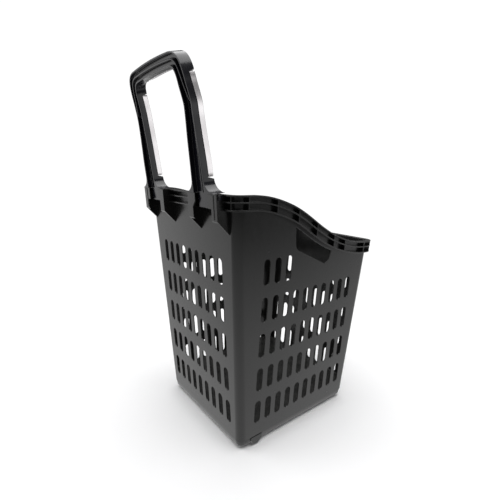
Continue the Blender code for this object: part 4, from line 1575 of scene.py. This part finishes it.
    def body_profile(self, station: Station) -> list[tuple[float, float]]:
        """The black body's section: side faces, two channels with a rib between, and the front.

        Args:
            station: The cross-section's place.

        Returns:
            Points of (distance from the inner edge, depth below the rear face).
        """
        width = (station.outer - station.inner).length
        height = (station.inner.y + station.outer.y) / 2
        r, b, floor, third = self.edge, self.front_edge, self.channel, ROUND_THIRD
        front = self.full_depth(station) - (self.trim_depth if station.trimmed else 0)
        first, last = station.flange_in, width - station.flange_out
        rise = min(max((height - self.kink_z) / self.rib_shift, 0.0), 1.0)
        low_share, high_share = self.rib_share
        middle = (low_share - (low_share - high_share) * math.sqrt(rise)) * width
        rib_a = min(middle - self.rib / 2, last - self.rib_clear[0])
        rib_b = min(middle + self.rib / 2, last - self.rib_clear[1])
        rib_edge = min(r, (rib_b - rib_a) / 4)
        room = last - rib_b
        upper = min(floor, rib_edge + 2 * self.hair + max(0.0, room - self.rib_clear[1]) * 4)
        cove, draft = self.channel_cove, self.channel_draft
        small_cove, small_draft = min(cove, room / 4), min(draft, room / 10)
        lift = min(small_cove, upper / 3)
        ridge = self.ridge_height * (1 - min(1.0, rise * 6)) + self.hair
        along = first + (rib_a - first) * self.ridge_share
        foot, top = self.ridge_half
        points = [(0, r), (third * r, third * r), (r, 0), (first - r, 0)]
        points += [(first - third * r, third * r), (first, r)]
        points += [(first + draft, floor - cove), (first + draft + cove, floor)]
        points += [(along - foot, floor), (along - top, floor - ridge)]
        points += [(along + top, floor - ridge), (along + foot, floor)]
        points += [(rib_a - draft - cove, floor), (rib_a - draft, floor - cove)]
        points += [(rib_a, rib_edge), (rib_a + rib_edge, 0), (rib_b - rib_edge, 0), (rib_b, rib_edge)]
        points += [(rib_b + small_draft, upper - lift), (rib_b + small_draft + small_cove, upper)]
        points += [(last - small_draft - small_cove, upper), (last - small_draft, upper - lift)]
        points += [(last, rib_edge), (last + third * r, third * rib_edge), (last + r, 0)]
        points += [(width - r, 0), (width - third * r, third * r), (width, r)]
        points += [(width, front - b), (width - third * b, front - third * b), (width - b, front)]
        points += [(b, front), (third * b, front - third * b), (0, front - b)]
        return [(across, max(depth, station.set_back)) for across, depth in points]

    def strip_runs(self, path: Sequence[Station]) -> list[tuple[int, int]]:
        """First and last index of each run of trimmed stations."""
        runs, start = [], None
        for number, station in enumerate([*path, Station(Vector((0, 0)), Vector((1, 0)), 0, 0)]):
            if station.trimmed and start is None:
                start = number
            elif not station.trimmed and start is not None:
                runs.append((start, number - 1))
                start = None
        return runs

    def strip(self, name: str, run: Sequence[Station], signs: Sequence[int]) -> bpy.types.Object:
        """One bright strip with a crowned front and rounded ends.

        Args:
            name: The piece's name.
            run: The stations that it covers.
            signs: The sign of x at each of them.

        Returns:
            The strip.
        """
        edge, crown = self.strip_edge, self.strip_crown
        soft = [(edge * (1 - math.sin(a)), edge * (1 - math.cos(a))) for a in ROUND_ANGLES]
        rings = []
        for number, (station, sign) in enumerate(zip(run, signs)):
            front = self.full_depth(station)
            back = front - self.trim_depth + GAP
            width = (station.outer - station.inner).length
            end = self.strip_end if number in (0, len(run) - 1) else 0.0
            profile = [(end, back), (width - end, back)]
            profile += [(width - end - inset, front - crown - up) for up, inset in soft]
            profile += [(width / 2, front - end)]
            profile += [(end + inset, front - crown - up) for up, inset in reversed(soft)]
            rings.append(self.ring(station, profile, sign))
        for end, inside in ((0, 1), (-1, -2)):
            rings[end] = [p + (q - p).normalized() * GAP for p, q in zip(rings[end], rings[inside])]
        strip = slab(name, rings)
        even_shading(strip)
        return strip


SAME_POINT = 0.00001
SAME_PLANE = math.radians(0.5)


def refined_copy(shop: Workshop, node: str, name: str, radius: float) -> bpy.types.Object:
    """A copy of a CAD node with its edges rounded.

    Args:
        shop: The workshop.
        node: The CAD node.
        name: The new piece's name.
        radius: The edges' radius.

    Returns:
        The new object, not yet placed.
    """
    bm = bmesh.new()
    bm.from_mesh(shop.frame["nodes"][node].data)
    bmesh.ops.remove_doubles(bm, verts=bm.verts, dist=SAME_POINT)
    bmesh.ops.dissolve_limit(bm, angle_limit=SAME_PLANE, verts=bm.verts, edges=bm.edges)
    obj = mesh_object(name, bm)
    rounded(obj, radius)
    even_shading(obj)
    return obj


# ---------------------------------------------------------------- base and wheels


@dataclass
class BaseTray:
    """The low tray under the basket, with castor cups, wheel openings and the cheeks that hold the axles."""

    plan: WallPlan = field(default_factory=WallPlan)
    band: tuple[tuple[float, float], ...] = (
        (0.0080, -0.0061),
        (0.0086, -0.0045),
        (0.0100, -0.0031),
        (0.0115, -0.0024),
        (0.0225, -0.0011),
        (0.0237, -0.0017),
        (0.0237, -0.0039),
        (0.0125, -0.0051),
        (0.0110, -0.0066),
    )
    rooted: float = 0.0085
    edge: float = 0.0004
    cup_x: float = 0.112
    cup_y: float = -0.166
    cup_radius: float = 0.037
    cup_wall: float = 0.003
    cup_tops: tuple[float, float] = (0.0445, 0.0505)
    stem_bore: tuple[float, float, float] = (0.0045, 0.040, 0.060)
    wheel_y: float = 0.099
    wheel_z: float = 0.020
    opening: tuple[float, float] = (0.143, 0.1625)
    opening_half: float = 0.0245
    opening_top: float = 0.030
    outer_cheek: tuple[float, float, float] = (0.1618, 0.1672, 0.0165)
    inner_cheek: tuple[float, float, float] = (0.1395, 0.1440, 0.0135)
    inner_cheek_top: float = 0.034
    axle_hole: float = 0.0028
    axle_reach: tuple[float, float] = (0.130, 0.1655)
    screws: tuple[tuple[float, float], ...] = (
        (0.125, 0.030),
        (0.0, 0.110),
        (-0.125, 0.030),
        (0.125, -0.090),
        (0.0, -0.185),
        (-0.125, -0.090),
    )
    post: float = 0.006
    post_top: float = 0.040
    screw_hole: tuple[tuple[float, float], ...] = (
        (0.0045, 0.0),
        (0.0045, 0.0112),
        (0.0022, 0.0112),
        (0.0022, 0.050),
    )
    screw_profile: tuple[tuple[float, float], ...] = (
        (0.0006, 0.0089),
        (0.0024, 0.0087),
        (0.0037, 0.0092),
        (0.0042, 0.0100),
        (0.0042, 0.0109),
        (0.0018, 0.0109),
        (0.0018, 0.0500),
        (0.0003, 0.0515),
    )
    cross: tuple[float, float, float] = (0.0021, 0.00045, 0.0099)
    cross_core: tuple[float, float] = (0.0009, 0.0097)

    def build(self, shop: Workshop) -> None:
        """Make the tray and its screws and place them on the trolley."""
        places = self.plan.stations(arc_steps=12, side_steps=2)
        rings = [[self.plan.wall_point(p, z, offset) for p in places] for z, offset in self.band]
        tray = slab("base_tray", rings)
        boolean(tray, "UNION", self.cups_and_posts())
        boolean(tray, "DIFFERENCE", self.openings())
        boolean(tray, "UNION", self.cheeks())
        boolean(tray, "DIFFERENCE", self.bores())
        rounded(tray, self.edge)
        even_shading(tray)
        shop.deliver(tray, BLACK_MOULDING, "trolley", ["base_plinth"])
        self.build_screws(shop)

    def cups_and_posts(self) -> bpy.types.Object:
        """The castor cups' outsides and the posts that the screws go up."""
        bm = bmesh.new()
        for side in Side:
            centre = Vector((side.value * self.cup_x, self.cup_y, 0))
            cylinder(bm, self.cup_radius + self.cup_wall, centre, self.rooted, self.cup_tops[1], segments=64)
        for x, y in self.screws:
            cylinder(bm, self.post, Vector((x, y, 0)), self.rooted, self.post_top - GAP)
        return mesh_object("cups_and_posts", bm)

    def openings(self) -> bpy.types.Object:
        """The cutters for the castor cups and the fixed wheels."""
        bm = bmesh.new()
        for side in Side:
            centre = Vector((side.value * self.cup_x, self.cup_y, 0))
            cylinder(bm, self.cup_radius, centre, 0.0, self.cup_tops[0], segments=64)
            near, far = sorted(side.value * x for x in self.opening)
            low = (near, self.wheel_y - self.opening_half, 0.0)
            block(bm, low, (far, self.wheel_y + self.opening_half, self.opening_top))
        return mesh_object("wheel_openings", bm)

    def cheeks(self) -> bpy.types.Object:
        """Two cheeks for each fixed wheel: round below and straight up to the top."""
        bm = bmesh.new()
        tops = (self.plan.bottom - 2 * GAP, self.inner_cheek_top)
        for side in Side:
            for (near, far, radius), top in zip((self.outer_cheek, self.inner_cheek), tops):
                outline = [Vector((self.wheel_y + radius, top)), Vector((self.wheel_y - radius, top))]
                outline += arc(Vector((self.wheel_y, self.wheel_z)), radius, 180, 360, 24)
                loft(bm, [[Vector((side.value * x, p.x, p.y)) for p in outline] for x in (near, far)])
        return mesh_object("wheel_cheeks", bm)

    def bores(self) -> bpy.types.Object:
        """The cutters for castor stems, axles and stepped screw holes."""
        bm = bmesh.new()
        radius, low, high = self.stem_bore
        for side in Side:
            cylinder(bm, radius, Vector((side.value * self.cup_x, self.cup_y, 0)), low, high)
            near, far = sorted(side.value * x for x in self.axle_reach)
            cylinder(bm, self.axle_hole, Vector((0, self.wheel_y, self.wheel_z)), near, far, "X", 24)
        for x, y in self.screws:
            loft(bm, self.round_rings(x, y, self.screw_hole))
        return mesh_object("bores", bm)

    @staticmethod
    def round_rings(x: float, y: float, profile: Sequence[tuple[float, float]]) -> list[Ring]:
        """Rings of 24 points round an upright axis.

        Args:
            x: The axis's x.
            y: Its y.
            profile: Each ring's radius and height.

        Returns:
            The rings.
        """
        rings = []
        for radius, z in profile:
            rings.append([Vector((x + p.x, y + p.y, z)) for p in arc(Vector((0, 0)), radius, 0, 345, 23)])
        return rings

    def build_screws(self, shop: Workshop) -> None:
        """Six cross-recessed screws, copied onto their places by the screw tree.

        Args:
            shop: The workshop.
        """
        shape = slab("screw_shape", self.round_rings(0.0, 0.0, self.screw_profile))
        long, short, depth = self.cross
        bm = bmesh.new()
        for half_x, half_y in ((long, short), (short, long)):
            block(bm, (-half_x, -half_y, 0.0), (half_x, half_y, depth))
        cross = mesh_object("cross_recess", bm)
        radius, height = self.cross_core
        bm = bmesh.new()
        cylinder(bm, radius, Vector((0, 0, 0)), 0.0, height, segments=12)
        boolean(cross, "UNION", mesh_object("cross_middle", bm))
        boolean(shape, "DIFFERENCE", cross)
        screws = points_object("base_screws", [(x, y, 0.0) for x, y in self.screws])
        values = {"Shape": shape, "Material": shop.materials[ZINC_STEEL.name]}
        run_tree(screws, shop.repeats.on_points, values)
        made_plain(screws)
        bpy.data.objects.remove(shape, do_unlink=True)
        screws.data.set_sharp_from_angle(angle=SHARP_ANGLE)
        nodes = [f"base_screw_{number}" for number in range(1, len(self.screws) + 1)]
        shop.deliver(screws, ZINC_STEEL, "trolley", nodes)


@dataclass
class Wheel:
    """A small wheel on an axle along X: a grooved tyre on a spoked hub."""

    centre: Vector
    radius: float
    width: float
    bore: float
    spokes: int = 6
    rim_share: float = 0.70
    tread_blocks: int = 36
    groove: float = 0.0006
    groove_share: float = 0.38

    def tyre(self, shop: Workshop, name: str) -> bpy.types.Object:
        """The tyre, with two grooves round it and small blocks on both shoulders.

        Args:
            shop: The workshop.
            name: The piece's name.

        Returns:
            The tyre.
        """
        half, low, high = self.width / 2, self.radius * self.rim_share + GAP, self.radius
        at, groove = half * self.groove_share, self.groove
        profile = [(low, half), (high - 0.0030, half), (high - 0.0014, half - 0.0005)]
        profile += [(high - 0.0005, half - 0.0015), (high, half - 0.0028), (high, at + groove)]
        profile += [(high - groove, at + groove / 3), (high - groove, at - groove / 3), (high, at - groove)]
        profile += [(r, -d) for r, d in reversed(profile)]
        tyre = mesh_object(name, turned(profile, self.centre, 72))
        bm = bmesh.new()
        for sign in (-1, 1):
            near, far = sorted((sign * (half - 0.0030), sign * (half - 0.0006)))
            block(bm, (near, -0.0005, high - 0.0032), (far, 0.0005, high - 0.0006))
        shape = mesh_object("tread_shape", bm)
        rounded(shape, 0.0002, segments=1)
        self.add_ring(shop, tyre, shape, self.tread_blocks, TYRE_BLACK)
        return tyre

    def hub(self, shop: Workshop, name: str) -> bpy.types.Object:
        """The hub: a rim, a thin web, a boss and raised spokes on both faces.

        Args:
            shop: The workshop.
            name: The piece's name.

        Returns:
            The hub.
        """
        half, rim, bore = self.width / 2, self.radius * self.rim_share, self.bore
        boss, web, edge = half - 0.0004, half * 0.45, half - 0.0006
        outer = [(bore, boss - 0.0004), (bore + 0.0004, boss), (bore + 0.0028, boss)]
        outer += [(bore + 0.0032, boss - 0.0004), (bore + 0.0034, web), (rim - 0.0028, web)]
        outer += [(rim - 0.0024, edge - 0.0003), (rim - 0.0020, edge)]
        outer += [(rim - 0.0003, edge), (rim, edge - 0.0003)]
        profile = outer + [(r, -d) for r, d in reversed(outer)]
        hub = mesh_object(name, turned(profile, self.centre, 64))
        bm = bmesh.new()
        block(bm, (-edge + 0.0012, -0.0009, bore + 0.0020), (edge - 0.0012, 0.0009, rim - 0.0015))
        shape = mesh_object("spoke_shape", bm)
        rounded(shape, 0.0004)
        self.add_ring(shop, hub, shape, self.spokes, HUB_GREY)
        return hub

    def add_ring(
        self, shop: Workshop, obj: bpy.types.Object, shape: bpy.types.Object, count: int, finish: Plastic
    ) -> None:
        """Set copies of a shape round the axle onto an object, and use the shape up.

        Args:
            shop: The workshop.
            obj: The tyre or hub.
            shape: The shape, where it stands at the top of an axle through the origin.
            count: How many copies.
            finish: Their finish.
        """
        values = {"Shape": shape, "Count": count, "Centre": tuple(self.centre)}
        values |= {"Axis": (1.0, 0.0, 0.0), "Material": shop.materials[finish.name]}
        run_tree(obj, shop.repeats.ring_of, values)
        made_plain(obj)
        bpy.data.objects.remove(shape, do_unlink=True)
        even_shading(obj)


@dataclass
class RunningGear:
    """The two fixed rear wheels and the two swivel castors in front, with each axle's (x, y)."""

    rear_axle: tuple[float, float] = (0.153, 0.099)
    rear_sizes: tuple[float, float, float] = (0.020, 0.015, 0.0028)
    castor_axle: tuple[float, float] = (0.112, -0.154)
    castor_sizes: tuple[float, float, float] = (0.017, 0.013, 0.0023)
    fork_edge: float = 0.0004

    def build(self, shop: Workshop) -> None:
        """Make every wheel and refine the castors' forks."""
        for side in Side:
            label = side.label
            rear = Wheel(self.centre(side, self.rear_axle, self.rear_sizes), *self.rear_sizes)
            place = self.centre(side, self.castor_axle, self.castor_sizes)
            castor = Wheel(place, *self.castor_sizes, spokes=5, tread_blocks=30)
            for wheel, prefix, body in ((rear, "rear", "rear_wheel"), (castor, "castor", "castor_wheel")):
                tyre = wheel.tyre(shop, f"{prefix}_wheel_tyre_{label}")
                shop.deliver(tyre, TYRE_BLACK, f"{body}_{label}", [f"{prefix}_tyre_{label}"])
                hub = wheel.hub(shop, f"{prefix}_wheel_hub_{label}")
                shop.deliver(hub, HUB_GREY, f"{body}_{label}", [f"{prefix}_hub_{label}"])
            fork = refined_copy(shop, f"castor_fork_{label}", f"fork_{label}", self.fork_edge)
            shop.deliver(fork, BLACK_MOULDING, f"castor_{label}", [f"castor_fork_{label}"])
            shop.dress_node(f"castor_washer_{label}", HUB_GREY)
            for node in ("rear_axle", "castor_axle", "castor_retainer"):
                shop.dress_node(f"{node}_{label}", ZINC_STEEL)

    @staticmethod
    def centre(side: Side, axle: tuple[float, float], sizes: tuple[float, float, float]) -> Vector:
        """A wheel's centre, as high as its radius."""
        return Vector((side.value * axle[0], axle[1], sizes[0]))


# ---------------------------------------------------------------- studio


@dataclass(frozen=True)
class Softbox:
    """A square light that faces a point, with its power in watts."""

    name: str
    place: tuple[float, float, float]
    target: tuple[float, float, float]
    size: float
    power: float


@dataclass
class Studio:
    """Pale floor, soft light and the camera."""

    camera_place: tuple[float, float, float] = (-0.71145, 0.56208, 0.62562)
    azimuth: float = 231.71
    elevation: float = 12.08
    roll: float = 1.38
    lens: float = 25.05
    sensor: float = 36.0
    clip: tuple[float, float] = (0.01, 60.0)
    white: float = 1.05
    floor_size: float = 12.0
    floor_colours: tuple[Colour, Colour] = ((0.92, 0.92, 0.925), (0.9062, 0.9062, 0.911125))
    sweep: tuple[float, float] = (0.36, 1.15)
    front_way: tuple[float, float] = (-0.785, 0.62)
    floor_spread: tuple[float, float] = (-0.40, 0.35)
    far_floor: tuple[float, float] = (0.98, 0.10)
    floor_reach: tuple[float, float] = (0.5, 2.4)
    bright_way: tuple[float, float] = (0.62, 0.785)
    wall_spread: tuple[float, float] = (0.30, 0.90)
    wall_light: tuple[float, float] = (0.12, 1.10)
    wall_top: tuple[float, float] = (0.24, 0.40)
    above_wall: float = 0.15
    ceiling_from: tuple[float, float] = (0.45, 0.90)
    ceiling_light: float = 0.45
    softboxes: tuple[Softbox, ...] = (
        Softbox("key", (1.6, 1.9, 1.9), (0.0, 0.1, 0.45), 1.6, 20.0),
        Softbox("top", (-0.1, -0.1, 2.6), (0.0, 0.0, 0.2), 2.8, 84.0),
    )

    def build(self) -> None:
        """Make everything that isn't part of the trolley."""
        self.make_camera()
        self.make_floor()
        self.make_sky()
        for softbox in self.softboxes:
            self.make_light(softbox)
        scene = bpy.context.scene
        scene.view_settings.view_transform = "Standard"
        scene.view_settings.look = "None"

    def make_camera(self) -> None:
        """The camera, from its place, its direction and its roll."""
        az, el, roll = (math.radians(a) for a in (self.azimuth, self.elevation, self.roll))
        towards = Vector((math.sin(az) * math.cos(el), -math.cos(az) * math.cos(el), math.sin(el)))
        right = (-towards).cross(Vector((0, 0, 1))).normalized()
        up = right.cross(-towards)
        rolled = right * math.cos(roll) + up * math.sin(roll)
        risen = up * math.cos(roll) - right * math.sin(roll)
        turn = Matrix((rolled, risen, towards)).transposed().to_4x4()
        data = bpy.data.cameras.new("camera")
        data.lens, data.sensor_width = self.lens, self.sensor
        data.clip_start, data.clip_end = self.clip
        camera = bpy.data.objects.new("camera", data)
        camera.matrix_world = Matrix.Translation(self.camera_place) @ turn
        bpy.context.scene.collection.objects.link(camera)
        bpy.context.scene.camera = camera

    def make_floor(self) -> None:
        """A plain pale floor that fades into the white. Reflections see it dimmer far out in front."""
        bm = bmesh.new()
        bmesh.ops.create_grid(bm, x_segments=1, y_segments=1, size=self.floor_size)
        floor = mesh_object("floor", bm)
        build, shader, material = start_material("pale_floor")
        place = build.place()
        distance = build.vector_math("DISTANCE", place, (0.0, 0.0, 0.0)).outputs["Value"]
        colour = blend_colour(build, build.noise(place, 3.0, 3.0), *self.floor_colours)
        build.link((colour, shader.inputs["Base Color"]))
        shader.inputs["Roughness"].default_value = 0.9
        shader.inputs["Specular IOR Level"].default_value = 0.0
        way = build.vector_math("NORMALIZE", place, (0.0, 0.0, 0.0)).outputs["Vector"]
        forward = build.vector_math("DOT_PRODUCT", way, (*self.front_way, 0.0)).outputs["Value"]
        far = build.remap(forward, *self.floor_spread, *self.far_floor)
        dimmed = build.between(build.remap(distance, *self.floor_reach), 1.0, far)
        seen = build.add("ShaderNodeLightPath").outputs["Is Camera Ray"]
        fade = build.math("MAXIMUM", build.remap(distance, *self.sweep), build.math("SUBTRACT", 1.0, seen))
        strength = build.between(seen, dimmed, self.white)
        glow = build.add("ShaderNodeEmission", {"Color": (1.0, 1.0, 1.0, 1.0), "Strength": strength})
        mixed = build.add("ShaderNodeMixShader", {0: fade, 1: shader.outputs[0], 2: glow.outputs[0]})
        build.link((mixed.outputs[0], material.node_tree.nodes["Material Output"].inputs["Surface"]))
        floor.data.materials.append(material)

    def make_sky(self) -> None:
        """White behind the trolley. Reflections see bright walls to both sides and dim ones fore and aft."""
        world = bpy.data.worlds.new("studio")
        bpy.context.scene.world = world
        world.use_nodes = True
        build = TreeBuilder(world.node_tree)
        look = build.add("ShaderNodeTexCoord").outputs["Generated"]
        across = build.vector_math("DOT_PRODUCT", look, (*self.bright_way, 0.0)).outputs["Value"]
        walls = build.remap(build.math("ABSOLUTE", across), *self.wall_spread, *self.wall_light)
        height = build.add("ShaderNodeSeparateXYZ", {0: look}).outputs["Z"]
        sides = build.between(build.remap(height, *self.wall_top), walls, self.above_wall)
        mixed = build.between(build.remap(height, *self.ceiling_from), sides, self.ceiling_light)
        seen = build.add("ShaderNodeLightPath").outputs["Is Camera Ray"]
        background = world.node_tree.nodes["Background"].inputs
        background["Color"].default_value = (1.0, 1.0, 1.0, 1.0)
        build.link((build.between(seen, mixed, self.white), background["Strength"]))

    @staticmethod
    def make_light(softbox: Softbox) -> None:
        """Place one softbox.

        Args:
            softbox: The softbox.
        """
        data = bpy.data.lights.new(softbox.name, "AREA")
        data.shape, data.size, data.energy = "SQUARE", softbox.size, softbox.power
        light = bpy.data.objects.new(softbox.name, data)
        away = Vector(softbox.target) - Vector(softbox.place)
        light.rotation_euler = away.to_track_quat("-Z", "Y").to_euler()
        light.location = softbox.place
        bpy.context.scene.collection.objects.link(light)


def main() -> None:
    """Build the trolley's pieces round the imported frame, and the studio."""
    logging.basicConfig(level=logging.INFO, format="%(name)s: %(message)s", stream=sys.stdout)
    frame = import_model()
    shop = Workshop(frame)
    for part in (BasketTub(), HandleBow(), BaseTray(), RunningGear()):
        LOG.info("building %s", type(part).__name__)
        part.build(shop)
    Studio().build()


if __name__ == "__main__":
    main()
